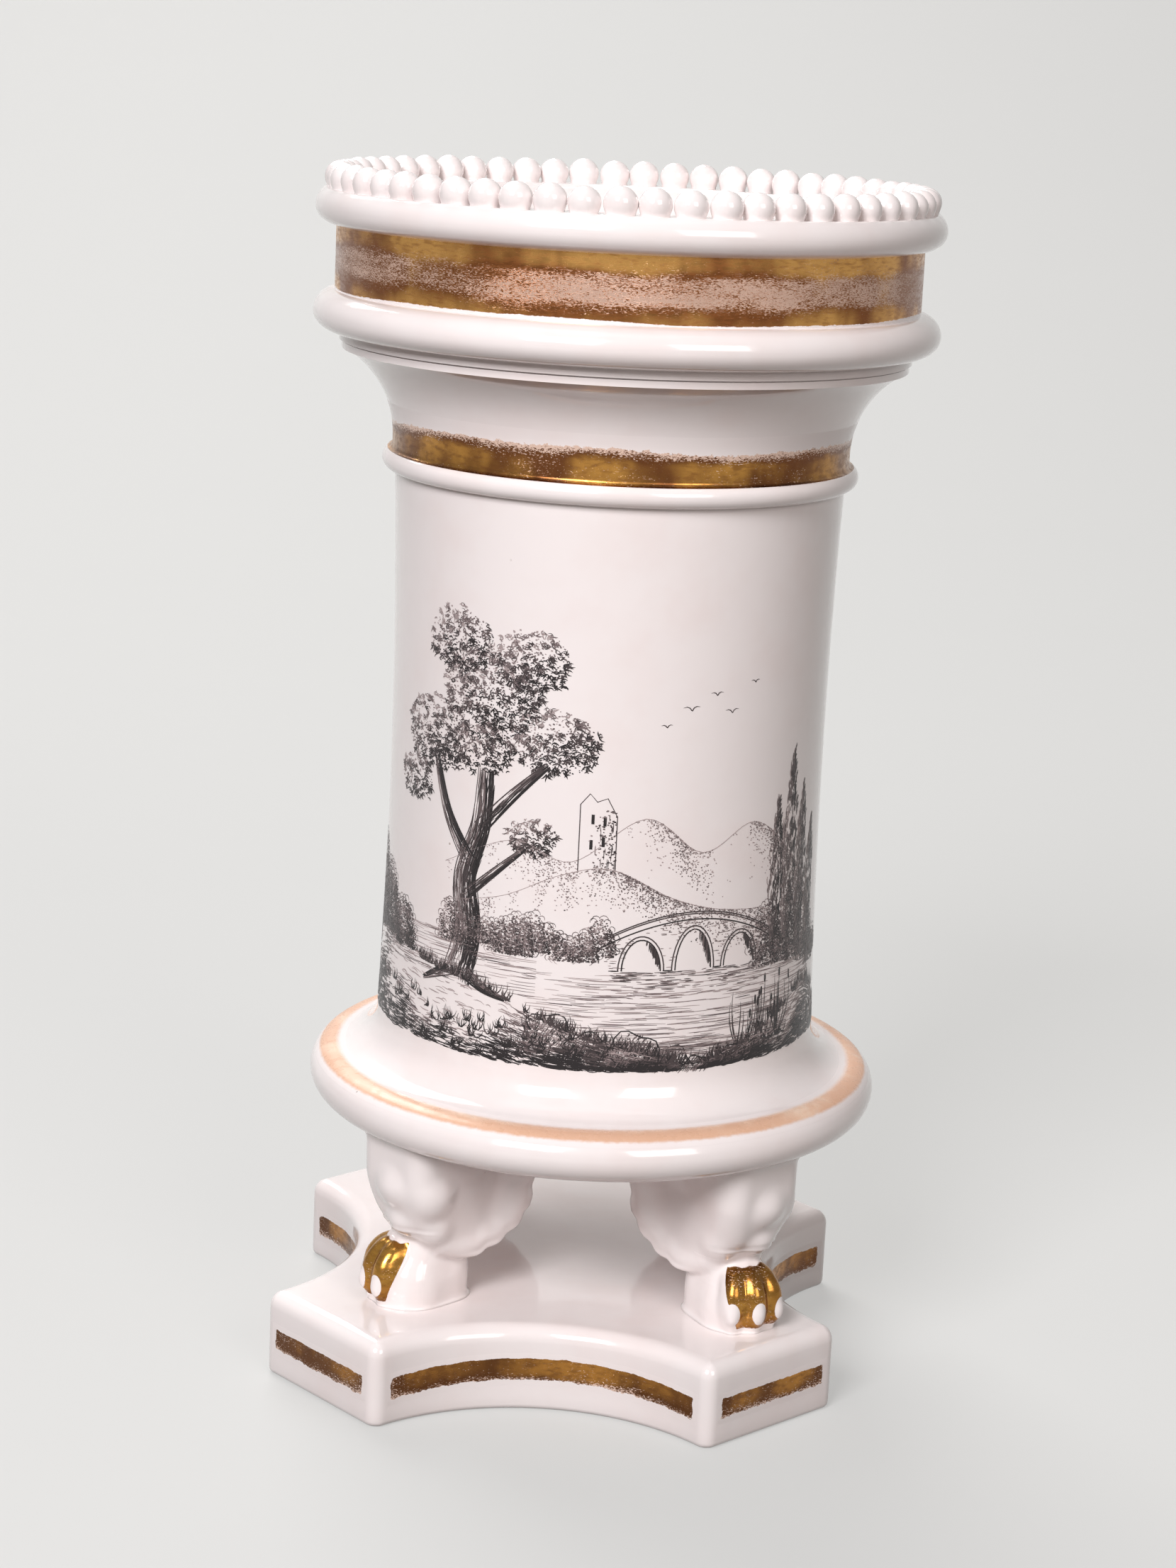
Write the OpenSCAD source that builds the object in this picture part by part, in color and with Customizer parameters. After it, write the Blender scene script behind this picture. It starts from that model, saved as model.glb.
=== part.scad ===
// Porcelain spill vase: an open turned cylinder with a beaded rim, on a round foot that four
// winged paw legs carry above a hollow-sided plinth. Sizes are in millimetres.
// The origin is the middle of the plinth's underside, with +Z up along the vase's axis.

/* [Plinth] */
// Height of the slab
plinth_h = 8.8; // [6:0.1:12]
// Half width of the slab, out to the ends of the hollowed sides
plinth_half = 29; // [28:0.1:34]
// Half length of a hollowed side between its two corners
plinth_side_half = 16.2; // [15:0.1:18]
// Half width of the slab at the middle of a hollowed side
plinth_waist = 21.8; // [20:0.1:25]
// Rounding of the top edge
plinth_edge_r = 1.3; // [0.5:0.1:1.8]
// Rounding of the upright corners
plinth_corner_r = 1.4; // [0.8:0.1:2.5]
// Bevel round the underside
plinth_bevel = 0.5; // [0.2:0.1:1]
// How far to the left of the vase's axis the plinth was set
plinth_shift = 2.3; // [0:0.1:2.4]

/* [Legs] */
// Height of a leg from the plinth to the disc
leg_h = 17.6; // [14:0.1:24]
// Distance of the paw's middle from the axis
paw_reach = 23.2; // [22:0.1:24.5]
// Length of the paw from heel to toes
paw_l = 10.4; // [9:0.1:11.5]
// Width of the paw
paw_w = 10.6; // [9:0.1:13]
// Height of the paw, up to the notch above its toes
paw_h = 7; // [6:0.1:9]
// Depth of the grooves between the toes
toe_groove = 0.9; // [0.3:0.1:1.4]
// Distance of the notch above the toes from the axis
notch_reach = 23; // [21:0.1:25]
// Distance of the knee's outer face from the axis
knee_reach = 27; // [24:0.1:28]
// Width of the knee
knee_w = 10.4; // [8:0.1:12]
// Height of the rounded swellings on the knee
knee_swell = 0.6; // [0.2:0.1:1.2]
// Distance of the wing's inner edge from the axis
wing_reach = 10.6; // [9:0.1:14]
// Share of the width that the wing loses towards its inner edge
wing_taper = 0.25; // [0:0.05:0.6]
// Squareness of the wing, from 0 for an oval to 1 for a block
wing_squareness = 0.4; // [0:0.05:0.7]
// How far the leg's top stays inside the flat of the disc's underside
leg_top_margin = 0.15; // [0:0.05:1]

/* [Foot disc] */
// Outer radius of the disc
disc_r = 29.15; // [28:0.05:34]
// Height of the disc's half-round edge
disc_edge_h = 5; // [3:0.1:6]
// Thickness of the vase's floor
floor_t = 4; // [2.5:0.1:5]
// Rounding where the floor meets the well's wall
well_corner_r = 2.5; // [1:0.1:4]

/* [Body] */
// Height of the body between the foot disc and the neck
body_h = 55.4; // [40:0.1:80]
// Outer radius at the body's foot
body_foot_r = 22.4; // [21.5:0.05:24]
// Outer radius at the waist, half way up
body_waist_r = 21.85; // [21:0.05:23]
// Inner radius of the well
bore_r = 18.9; // [16:0.1:19.5]

/* [Neck] */
// Outer radius of the astragal ring
astragal_r = 23.7; // [23.2:0.05:25]
// Thickness of the astragal ring
astragal_t = 2.2; // [1.6:0.1:4]
// Height of the plain fillet between the astragal and the flare
neck_fillet_h = 0.9; // [0.3:0.1:2]
// Outer radius where the flare starts
neck_foot_r = 22.7; // [22:0.05:23]
// Outer radius at the top of the flare
neck_top_r = 27.7; // [26.5:0.05:28.2]
// Height of the flare
flare_h = 8.7; // [6:0.1:12]
// Thickness of the wall at the top of the flare
neck_wall = 2.7; // [2:0.1:4]

/* [Rim collar] */
// How deep the plain frieze lies behind the round mouldings
frieze_depth = 2.1; // [1:0.05:2.6]
// Height of the frieze between the two round mouldings
frieze_h = 6.2; // [4:0.1:8]
// How far the round mouldings stand out from the top of the flare
moulding_overhang = 3.2; // [2.6:0.05:4]
// Thickness of the lower moulding
lower_moulding_t = 4.6; // [3:0.1:5]
// Thickness of the upper moulding
upper_moulding_t = 4.1; // [3:0.1:5]
// Height of the fillet below the lower moulding
collar_fillet_h = 0.8; // [0.4:0.1:1.5]
// Step from the top of the flare out to the fillet
collar_step = 0.3; // [0.1:0.05:0.6]

/* [Rim beads] */
// Diameter of a bead
bead_d = 3.15; // [2.4:0.05:4]
// How far the beads' circle lies inside the mouldings' outer edge
bead_set_in = 2.4; // [2:0.05:2.9]
// Least gap between neighbouring beads
bead_gap = 0.03; // [0.02:0.01:0.2]
// How much of each bead is pressed flat where it stands
bead_flat = 0.58; // [0.3:0.01:0.9]

/* [Gilding] */
// Thickness of a gilded layer
gilt_t = 0.08; // [0.05:0.01:0.15]
// Clearance under a layer that follows a curved surface
gilt_gap = 0.03; // [0.02:0.01:0.1]
// Height of the wide band on the frieze
frieze_band_h = 5.4; // [3:0.1:5.5]
// Height of bare frieze below the wide band
frieze_bare_h = 0.7; // [0.1:0.1:0.8]
// Height of the narrow band above the astragal
neck_band_h = 2.6; // [1.2:0.1:4]
// Width of the line on the disc's edge
disc_line_w = 1.75; // [0.5:0.05:2.2]
// Height of the plinth strips' lower edge
strip_z = 3; // [1.5:0.1:4]
// Height of the strips in the hollowed sides
side_strip_h = 2.3; // [1:0.1:3]
// Height of the strips on the cut corners
corner_strip_h = 2.1; // [1:0.1:3]
// Length of plinth left bare at both ends of a strip
strip_end = 2; // [1.6:0.1:4]
// Height of white paw left bare below the gilded toes
toe_bare_h = 0.9; // [0.4:0.1:2]
// Height of the top of the gilding on the toes
toe_gilt_top = 5.5; // [4:0.1:6.8]

/* [Hidden] */

porcelain = [0.96, 0.93, 0.91];
gold = [0.60, 0.40, 0.14];
peach_gold = [0.93, 0.76, 0.62];

// Where the pieces meet, from the table up
leg_z = plinth_h;
disc_z = leg_z + leg_h;
disc_edge_r = disc_edge_h / 2;
disc_edge_c = disc_r - disc_edge_r;
cove_r = disc_edge_c - body_foot_r;
body_z = disc_z + disc_edge_h + cove_r;
neck_z = body_z + body_h;
astragal_tube = astragal_t / 2;
mouth_r = neck_top_r - neck_wall;
moulding_r = neck_top_r + moulding_overhang;
frieze_r = moulding_r - frieze_depth;
flare_z = neck_z + astragal_t + neck_fillet_h;
collar_z = flare_z + flare_h;
lower_c = collar_z + collar_fillet_h + lower_moulding_t / 2;
frieze_z = lower_c + lower_moulding_t / 2;
upper_c = frieze_z + frieze_h + upper_moulding_t / 2;
bead_r = bead_d / 2;
bead_circle_r = moulding_r - bead_set_in;
// The upper moulding is cut level just where it is wide enough for the beads' flat undersides
bead_foot_r = sqrt(pow(bead_r, 2) - pow(bead_r - bead_flat, 2));
land_margin = 0.3;
land_out = bead_circle_r + bead_foot_r + land_margin;
upper_tube_c = moulding_r - upper_moulding_t / 2;
land_z = upper_c + sqrt(pow(upper_moulding_t / 2, 2) - pow(land_out - upper_tube_c, 2));
bead_z = land_z + bead_r - bead_flat;
bead_count = floor(180 / asin((bead_d + bead_gap) / (2 * bead_circle_r)));

// Hollowed side: an arc through both corners and the middle of the side
side_depth = plinth_half - plinth_waist;
side_r = (pow(plinth_side_half, 2) + pow(side_depth, 2)) / (2 * side_depth);
side_c = plinth_waist + side_r;
corner_reach = (plinth_half + plinth_side_half) / sqrt(2);
corner_l = (plinth_half - plinth_side_half) * sqrt(2);
side_steps = 16;
corner_steps = 4;
edge_steps = 5;
least_fillet = 0.05;

// How finely the leg's sections are drawn
leg_points = 40;
leg_steps = 2;
toe_rows = 12;
toe_pitch = 36;
toe_count = 3;
heel = paw_reach - paw_l / 2;
toe = paw_reach + paw_l / 2;
knee_h = leg_h - paw_h;
leg_seat = disc_edge_c - leg_top_margin;
// Each section: height, inner edge, outer edge, half width, share of wing, depth of the toe grooves
leg_sections = [
    [0, heel + 0.2, toe - 0.8, paw_w / 2 - 0.4, 0, 0.3 * toe_groove],
    [0.15 * paw_h, heel, toe - 0.1, paw_w / 2, 0, toe_groove],
    [0.36 * paw_h, heel, toe, paw_w / 2, 0, toe_groove],
    [0.56 * paw_h, heel, toe - 0.6, paw_w / 2 - 0.3, 0, toe_groove],
    [0.7 * paw_h, wing_edge(0.22), toe - 1.7, between(paw_w, knee_w, 0.4) / 2 - 0.4, 0.3, toe_groove],
    [0.82 * paw_h, wing_edge(0.5), toe - 2.9, between(paw_w, knee_w, 0.7) / 2 - 0.5, 0.6, 0.8 * toe_groove],
    [0.93 * paw_h, wing_edge(0.72), toe - 4.2, knee_w / 2 - 0.5, 0.8, 0.4 * toe_groove],
    [paw_h, wing_edge(0.8), notch_reach, knee_w / 2 - 0.4, 0.9, 0],
    [paw_h + 0.12 * knee_h, wing_edge(0.88), knee_edge(0.4), knee_w / 2 - 0.3, 1, 0],
    [paw_h + 0.3 * knee_h, wing_edge(0.96), knee_edge(0.75), knee_w / 2 - 0.1, 1, 0],
    [paw_h + 0.55 * knee_h, wing_reach, knee_reach, knee_w / 2, 1, 0],
    [paw_h + 0.85 * knee_h, wing_reach, knee_reach - 0.2, knee_w / 2, 1, 0],
    [leg_h, wing_reach, leg_seat, knee_w / 2, 1, 0]
];
// Swellings on the knee: turn from its middle, height, spread in degrees, spread in height
knee_swells = [
    [30, paw_h + 0.55 * knee_h, 14, 2],
    [-30, paw_h + 0.55 * knee_h, 14, 2],
    [0, paw_h + 0.42 * knee_h, 10, 1.4],
    [0, paw_h + 0.2 * knee_h, 18, 1.1]
];
last_section = len(leg_sections) - 1;

$fn = 96;

function between(a, b, share) = a + (b - a) * share;
function wing_edge(share) = between(heel, wing_reach, share);
function knee_edge(share) = between(notch_reach, knee_reach, share);
function turn2(v, a) = [v.x * cos(a) - v.y * sin(a), v.x * sin(a) + v.y * cos(a)];
function lift(points, z) = [for (v = points) [v.x, v.y, z]];
function middle(points) = [for (k = [0 : 2]) sum([for (v = points) v[k]]) / len(points)];
function sum(values) = values * [for (v = values) 1];
function signed_power(v, e) = sign(v) * pow(abs(v), e);
// Radius of the arc that leaves upright and moves sideways by run while it rises by rise
function flare_radius(run, rise) = (pow(run, 2) + pow(rise, 2)) / (2 * run);

// A solid through closed rings of the same number of points, listed from the bottom up
module loft(rings) {
    n = len(rings[0]);
    top = len(rings) - 1;
    points = concat([for (ring = rings) each ring], [middle(rings[0]), middle(rings[top])]);
    bottom_mid = n * (top + 1);
    sides = [
        for (k = [0 : top - 1], i = [0 : n - 1])
            let (j = (i + 1) % n, a = k * n + i, b = k * n + j)
                each [[a, a + n, b + n], [a, b + n, b]]
    ];
    caps = [
        for (i = [0 : n - 1])
            let (j = (i + 1) % n)
                each [[bottom_mid, i, j], [bottom_mid + 1, top * n + j, top * n + i]]
    ];
    polyhedron(points = points, faces = concat(sides, caps));
}

// A thin closed layer between two grids of points, the inner one on the surface it covers
module layer(inner, outer) {
    rows = len(inner);
    cols = len(inner[0]);
    base = rows * cols;
    points = concat([for (row = inner) each row], [for (row = outer) each row]);
    faces = [
        for (k = [0 : rows - 2], i = [0 : cols - 2])
            let (a = k * cols + i, b = a + 1, c = b + cols, d = a + cols)
                each [
                    [base + a, base + d, base + c], [base + a, base + c, base + b],
                    [a, c, d], [a, b, c]
                ]
    ];
    low = [for (i = [0 : cols - 2]) each [[i, base + i, base + i + 1], [i, base + i + 1, i + 1]]];
    high = [
        for (i = [0 : cols - 2])
            let (a = (rows - 1) * cols + i)
                each [[a, base + a + 1, base + a], [a, a + 1, base + a + 1]]
    ];
    left = [
        for (k = [0 : rows - 2])
            let (a = k * cols, d = a + cols)
                each [[a, base + d, base + a], [a, d, base + d]]
    ];
    right = [
        for (k = [0 : rows - 2])
            let (a = (k + 1) * cols - 1, d = a + cols)
                each [[a, base + a, base + d], [a, base + d, d]]
    ];
    polyhedron(points = points, faces = concat(faces, low, high, left, right));
}

// The plinth's outline, drawn in by inset all round, anticlockwise from the front side
function plinth_outline(inset) =
    let (
        r = side_r + inset,
        fillet = max(plinth_corner_r - inset, least_fillet),
        reach = corner_reach - inset - fillet,
        across = -side_c / sqrt(2) + sqrt(pow(r + fillet, 2) - pow(reach - side_c / sqrt(2), 2)),
        fillet_c = [(reach + across) / sqrt(2), (across - reach) / sqrt(2)],
        to_hollow = atan2(-side_c - fillet_c.y, -fillet_c.x),
        arc_start = atan2(fillet_c.y + side_c, -fillet_c.x),
        arc_end = atan2(fillet_c.y + side_c, fillet_c.x),
        left = [
            for (j = [0 : corner_steps])
                let (a = between(-135, -180 - to_hollow, j / corner_steps))
                    [-fillet_c.x + fillet * cos(a), fillet_c.y + fillet * sin(a)]
        ],
        hollow = [
            for (j = [1 : side_steps - 1])
                let (a = between(arc_start, arc_end, j / side_steps))
                    [r * cos(a), -side_c + r * sin(a)]
        ],
        right = [
            for (j = [0 : corner_steps])
                let (a = between(to_hollow, -45, j / corner_steps))
                    [fillet_c.x + fillet * cos(a), fillet_c.y + fillet * sin(a)]
        ]
    )
    [for (k = [0 : 3]) for (v = concat(left, hollow, right)) turn2(v, 90 * k)];

module plinth() {
    rounding = [
        for (j = [0 : edge_steps])
            let (a = 90 * j / edge_steps)
                lift(
                    plinth_outline(plinth_edge_r * (1 - cos(a))),
                    plinth_h - plinth_edge_r * (1 - sin(a))
                )
    ];
    underside = [lift(plinth_outline(plinth_bevel), 0), lift(plinth_outline(0), plinth_bevel)];
    color(porcelain) translate([-plinth_shift, 0, 0]) loft(concat(underside, rounding));
}

// A leg section at any place between the listed ones, on a smooth curve through them
function leg_section(u) =
    let (
        k = min(floor(u), last_section - 1),
        t = u - k,
        p0 = leg_sections[max(k - 1, 0)],
        p1 = leg_sections[k],
        p2 = leg_sections[k + 1],
        p3 = leg_sections[min(k + 2, last_section)],
        m1 = (p2 - p0) / 2,
        m2 = (p3 - p1) / 2
    )
    p1 + m1 * t + (3 * (p2 - p1) - 2 * m1 - m2) * pow(t, 2) + (2 * (p1 - p2) + m1 + m2) * pow(t, 3);

// Depth of the grooves beside each toe, from 0 on a toe to 1 in a groove
function toe_gap(a) =
    abs(a) > toe_pitch * (toe_count + 1) / 2 ? 0 : pow((1 - cos(a * 360 / toe_pitch)) / 2, 2);

function knee_bump(a, z) =
    sum([for (s = knee_swells) knee_swell * exp(-pow((a - s[0]) / s[2], 2) - pow((z - s[1]) / s[3], 2))]);

// The leg's outline at place u, grown outwards by grow, with x pointing out along the leg
function leg_outline(u, grow = 0, from = 0, to = leg_points - 1) =
    let (
        s = leg_section(u),
        mid = (s[1] + s[2]) / 2,
        half = (s[2] - s[1]) / 2,
        power = 1 - wing_squareness * s[4]
    )
    [
        for (i = [from : to])
            let (
                a = 360 * i / leg_points,
                front = a > 180 ? a - 360 : a,
                along = signed_power(cos(a), power),
                across = signed_power(sin(a), power),
                taper = 1 - wing_taper * s[4] * (1 - along) / 2,
                out = grow - s[5] * toe_gap(front) + (s[0] < leg_h ? knee_bump(front, s[0]) : 0)
            )
                [mid + half * along + out * cos(a), s[3] * taper * across + out * sin(a), leg_z + s[0]]
    ];

module leg(quarter) {
    rings = [for (k = [0 : last_section * leg_steps]) leg_outline(k / leg_steps)];
    color(porcelain) rotate([0, 0, 45 + 90 * quarter]) loft(rings);
}

module leg_back_right() {
    leg(0);
}

module leg_back_left() {
    leg(1);
}

module leg_front_left() {
    leg(2);
}

module leg_front_right() {
    leg(3);
}

module foot_disc() {
    color(porcelain) rotate_extrude() difference() {
        union() {
            translate([0, disc_z]) square([disc_edge_c, disc_edge_h]);
            translate([disc_edge_c, disc_z + disc_edge_r]) intersection() {
                circle(r = disc_edge_r);
                translate([0, -disc_edge_r]) square([disc_edge_r, disc_edge_h]);
            }
            difference() {
                translate([0, disc_z]) square([disc_edge_c, body_z - disc_z]);
                translate([disc_edge_c, body_z]) circle(r = cove_r);
            }
        }
        well_section(disc_z + floor_t, body_z + cove_r);
    }
}

// Half section of the well, with a rounded corner at its floor
module well_section(bottom, top) {
    translate([0, bottom + well_corner_r]) square([bore_r, top - bottom - well_corner_r]);
    translate([0, bottom]) square([bore_r - well_corner_r, top - bottom]);
    translate([bore_r - well_corner_r, bottom + well_corner_r]) intersection() {
        circle(r = well_corner_r);
        translate([0, -well_corner_r]) square(well_corner_r);
    }
}

// Outer radius of the body at a share of its height: drawn in towards the waist
function body_r(share) = body_waist_r + (body_foot_r - body_waist_r) * pow(2 * share - 1, 2);

module vase_body() {
    body_steps = 16;
    side = [for (k = [0 : body_steps]) [body_r(k / body_steps), body_z + body_h * k / body_steps]];
    color(porcelain) rotate_extrude()
        polygon(concat([[bore_r, body_z]], side, [[bore_r, body_z + body_h]]));
}

module neck() {
    run = neck_top_r - neck_foot_r;
    outer = flare_radius(run, flare_h);
    bore_run = mouth_r - bore_r;
    inner = flare_radius(bore_run, flare_h);
    color(porcelain) rotate_extrude() difference() {
        union() {
            translate([0, neck_z]) square([neck_foot_r, flare_z - neck_z]);
            translate([astragal_r - astragal_tube, neck_z + astragal_tube]) circle(r = astragal_tube);
            difference() {
                translate([0, flare_z]) square([neck_top_r, flare_h]);
                translate([neck_foot_r + outer, flare_z]) circle(r = outer);
            }
        }
        translate([0, neck_z]) square([bore_r, flare_z - neck_z]);
        difference() {
            translate([0, flare_z]) square([mouth_r, flare_h]);
            translate([bore_r + inner, flare_z]) circle(r = inner);
        }
    }
}

module rim_collar() {
    color(porcelain) rotate_extrude() difference() {
        union() {
            translate([0, collar_z]) square([neck_top_r + collar_step, collar_fillet_h]);
            translate([0, lower_c]) square([frieze_r, land_z - lower_c]);
            translate([0, lower_c - lower_moulding_t / 2])
                square([moulding_r - lower_moulding_t / 2, lower_moulding_t / 2]);
            translate([moulding_r - lower_moulding_t / 2, lower_c]) circle(d = lower_moulding_t);
            translate([upper_tube_c, upper_c]) circle(d = upper_moulding_t);
        }
        translate([0, collar_z]) square([mouth_r, land_z - collar_z]);
        translate([0, land_z]) square([moulding_r, upper_moulding_t]);
    }
}

module rim_beads() {
    color(porcelain) for (k = [0 : bead_count - 1])
        rotate([0, 0, 360 * k / bead_count]) translate([bead_circle_r, 0, bead_z]) intersection() {
            sphere(r = bead_r);
            translate([-bead_r, -bead_r, bead_flat - bead_r]) cube([bead_d, bead_d, bead_d]);
        }
}

module collar_gilding() {
    color(gold) rotate_extrude()
        translate([frieze_r, frieze_z + frieze_bare_h]) square([gilt_t, frieze_band_h]);
}

module neck_gilding() {
    outer = flare_radius(neck_top_r - neck_foot_r, flare_h);
    band_z = flare_z - neck_fillet_h + gilt_gap;
    color(gold) rotate_extrude() {
        translate([neck_foot_r, band_z]) square([gilt_t, flare_z - band_z]);
        intersection() {
            translate([neck_foot_r + outer, flare_z]) difference() {
                circle(r = outer);
                circle(r = outer - gilt_t);
            }
            translate([0, flare_z]) square([neck_top_r, neck_band_h - neck_fillet_h]);
        }
    }
}

module disc_gilding() {
    color(peach_gold) rotate_extrude() translate([disc_edge_c, disc_z + disc_edge_r]) intersection() {
        difference() {
            circle(r = disc_edge_r + gilt_t);
            circle(r = disc_edge_r);
        }
        square([disc_line_w, disc_edge_r + gilt_t]);
    }
}

module plinth_side_gilding() {
    side_half_angle = asin(plinth_side_half / side_r);
    bare_angle = strip_end / side_r * 180 / PI;
    strip_angle = 2 * (side_half_angle - bare_angle);
    color(gold) translate([-plinth_shift, 0, strip_z])
        for (k = [0 : 3]) rotate([0, 0, 90 * k]) translate([0, -side_c, 0])
            rotate([0, 0, 90 - strip_angle / 2]) rotate_extrude(angle = strip_angle)
                translate([side_r - gilt_gap - gilt_t, 0]) square([gilt_t, side_strip_h]);
}

module plinth_corner_gilding() {
    strip_l = corner_l - 2 * strip_end;
    color(gold) translate([-plinth_shift, 0, strip_z])
        for (k = [0 : 3]) rotate([0, 0, 45 + 90 * k]) translate([corner_reach, -strip_l / 2, 0])
            cube([gilt_t, strip_l, corner_strip_h]);
}

module toe_gilding() {
    span = toe_pitch * toe_count / 2 * leg_points / 360;
    heights = [for (k = [0 : last_section]) [leg_sections[k][0], k]];
    first = lookup(toe_bare_h, heights);
    last = lookup(toe_gilt_top, heights);
    rows = [for (k = [0 : toe_rows]) between(first, last, k / toe_rows)];
    color(gold) for (k = [0 : 3]) rotate([0, 0, 45 + 90 * k])
        layer(
            [for (u = rows) leg_outline(u, gilt_gap, -span, span)],
            [for (u = rows) leg_outline(u, gilt_gap + gilt_t, -span, span)]
        );
}

plinth();
leg_front_left();
leg_front_right();
leg_back_left();
leg_back_right();
foot_disc();
vase_body();
neck();
rim_collar();
rim_beads();
collar_gilding();
neck_gilding();
disc_gilding();
plinth_side_gilding();
plinth_corner_gilding();
toe_gilding();
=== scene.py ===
import logging
import math
import random
from dataclasses import dataclass, field
from enum import Enum
from typing import Callable, Iterable, Sequence

import bmesh
import bpy
import numpy as np
from mathutils import Matrix, Vector


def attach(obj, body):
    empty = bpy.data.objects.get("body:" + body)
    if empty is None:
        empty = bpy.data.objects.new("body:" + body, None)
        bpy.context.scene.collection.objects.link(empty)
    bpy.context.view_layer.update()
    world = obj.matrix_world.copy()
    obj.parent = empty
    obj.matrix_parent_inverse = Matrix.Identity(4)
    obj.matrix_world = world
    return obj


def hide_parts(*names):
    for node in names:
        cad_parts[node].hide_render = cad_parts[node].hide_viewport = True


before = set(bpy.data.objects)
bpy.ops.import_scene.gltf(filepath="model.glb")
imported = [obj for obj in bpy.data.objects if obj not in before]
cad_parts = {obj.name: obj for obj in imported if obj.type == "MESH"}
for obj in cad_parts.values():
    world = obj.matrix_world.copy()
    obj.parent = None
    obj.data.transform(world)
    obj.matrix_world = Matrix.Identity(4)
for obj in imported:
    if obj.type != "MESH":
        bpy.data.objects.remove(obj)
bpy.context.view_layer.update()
LOG = logging.getLogger("spill_vase")

# Lengths are in millimetres, apart from those of the lamps and the floor, which are in metres.
MM = 0.001
TINY = 1e-9
SEGMENTS = 256

# The gilding's thickness, the share of it left at its border and the steps over which it thins out there.
GILT_THICK = 0.016
BORDER_SHARE = 0.2
BORDER_STEPS = 3

# The unevenness of the turning: each wave's size, waves in a turn, start, and climb in millimetres.
WAVES = ((0.045, 2, 0.8, 40), (0.03, 3, -1.1, 23), (0.012, 5, 0.4, -13))

Point2 = tuple[float, float]
Colour = tuple[float, float, float, float]
Lump = tuple[Sequence[float], Sequence[float]]
Grid = np.ndarray
Socket = bpy.types.NodeSocket


class Slot(Enum):
    """The record's material slots."""

    PORCELAIN = "porcelain"
    GILDING = "gilding"
    DISC_LINE = "disc_line"


class Corner(Enum):
    """The four corners that carry a leg, by the turn of the leg from +X in degrees."""

    BACK_RIGHT = 45
    BACK_LEFT = 135
    FRONT_LEFT = 225
    FRONT_RIGHT = 315


def waver(angle: Grid, height: Grid) -> Grid:
    """What hand turning adds to a radius, at an angle in radians and a height."""
    return sum(size * np.sin(count * angle + start + height / climb) for size, count, start, climb in WAVES)


def turned(radius: Grid, angle: Grid, height: Grid) -> Grid:
    """Points of x, y and z on a turned surface with its unevenness, with the angle in radians."""
    true = np.where(radius > 1, radius + waver(angle, height), radius)
    return np.stack([true * np.cos(angle), true * np.sin(angle), height + 0 * angle], -1)


def grid_faces(rows: int, cols: int, wrap: bool) -> list[tuple[int, int, int, int]]:
    """Quads between neighbouring points of a grid.

    Args:
        rows: number of rows.
        cols: number of points in a row.
        wrap: whether the last point of a row joins the first.

    Returns:
        The quads as tuples of point numbers.
    """
    last = cols if wrap else cols - 1
    return [
        (k * cols + i, k * cols + (i + 1) % cols, (k + 1) * cols + (i + 1) % cols, (k + 1) * cols + i)
        for k in range(rows - 1)
        for i in range(last)
    ]


def cos_sin(degrees: float) -> Point2:
    """Cosine and sine of an angle in degrees."""
    angle = math.radians(degrees)
    return math.cos(angle), math.sin(angle)


def arc_points(centre: Point2, radius: float, start: float, end: float, steps: int) -> list[Point2]:
    """Points along an arc in that many steps, both ends included, with its angles in radians."""
    turns = [start + (end - start) * k / steps for k in range(steps + 1)]
    return [(centre[0] + radius * math.cos(a), centre[1] + radius * math.sin(a)) for a in turns]


def ring_grid(radius: Grid, height: Grid, steps: int) -> tuple[Grid, Grid]:
    """A row of turns in radians, and points round a surface with those columns of radii and heights."""
    turn = np.linspace(0, 2 * math.pi, steps, endpoint=False)[None, :]
    return turn, turned(radius + 0 * turn, turn + 0 * height, height + 0 * turn)


def make_piece(
    name: str,
    points: Grid,
    faces: Sequence[Sequence[int]],
    marks: dict[str, Grid] | None = None,
    crease: float | None = 38.0,
    outward: bool = True,
) -> bpy.types.Object:
    """Makes a smooth-shaded object.

    Args:
        name: the piece's name.
        points: points in millimetres.
        faces: faces as lists of point numbers.
        marks: named values kept on each point for the finish to read.
        crease: edges sharper than this many degrees stay sharp; None keeps all smooth.
        outward: whether the normals are turned outward on the closed mesh.

    Returns:
        The new object, linked to the scene.
    """
    mesh = bpy.data.meshes.new(name)
    mesh.from_pydata((np.asarray(points, float).reshape(-1, 3) * MM).tolist(), [], faces)
    for key, values in (marks or {}).items():
        layer = mesh.attributes.new(key, "FLOAT", "POINT")
        layer.data.foreach_set("value", np.asarray(values, np.float32).ravel())
    if outward:
        shell = bmesh.new()
        shell.from_mesh(mesh)
        bmesh.ops.recalc_face_normals(shell, faces=shell.faces)
        shell.to_mesh(mesh)
        shell.free()
    mesh.polygons.foreach_set("use_smooth", [True] * len(mesh.polygons))
    if crease is not None:
        mesh.set_sharp_from_angle(angle=math.radians(crease))
    piece = bpy.data.objects.new(name, mesh)
    bpy.context.scene.collection.objects.link(piece)
    return piece


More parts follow.
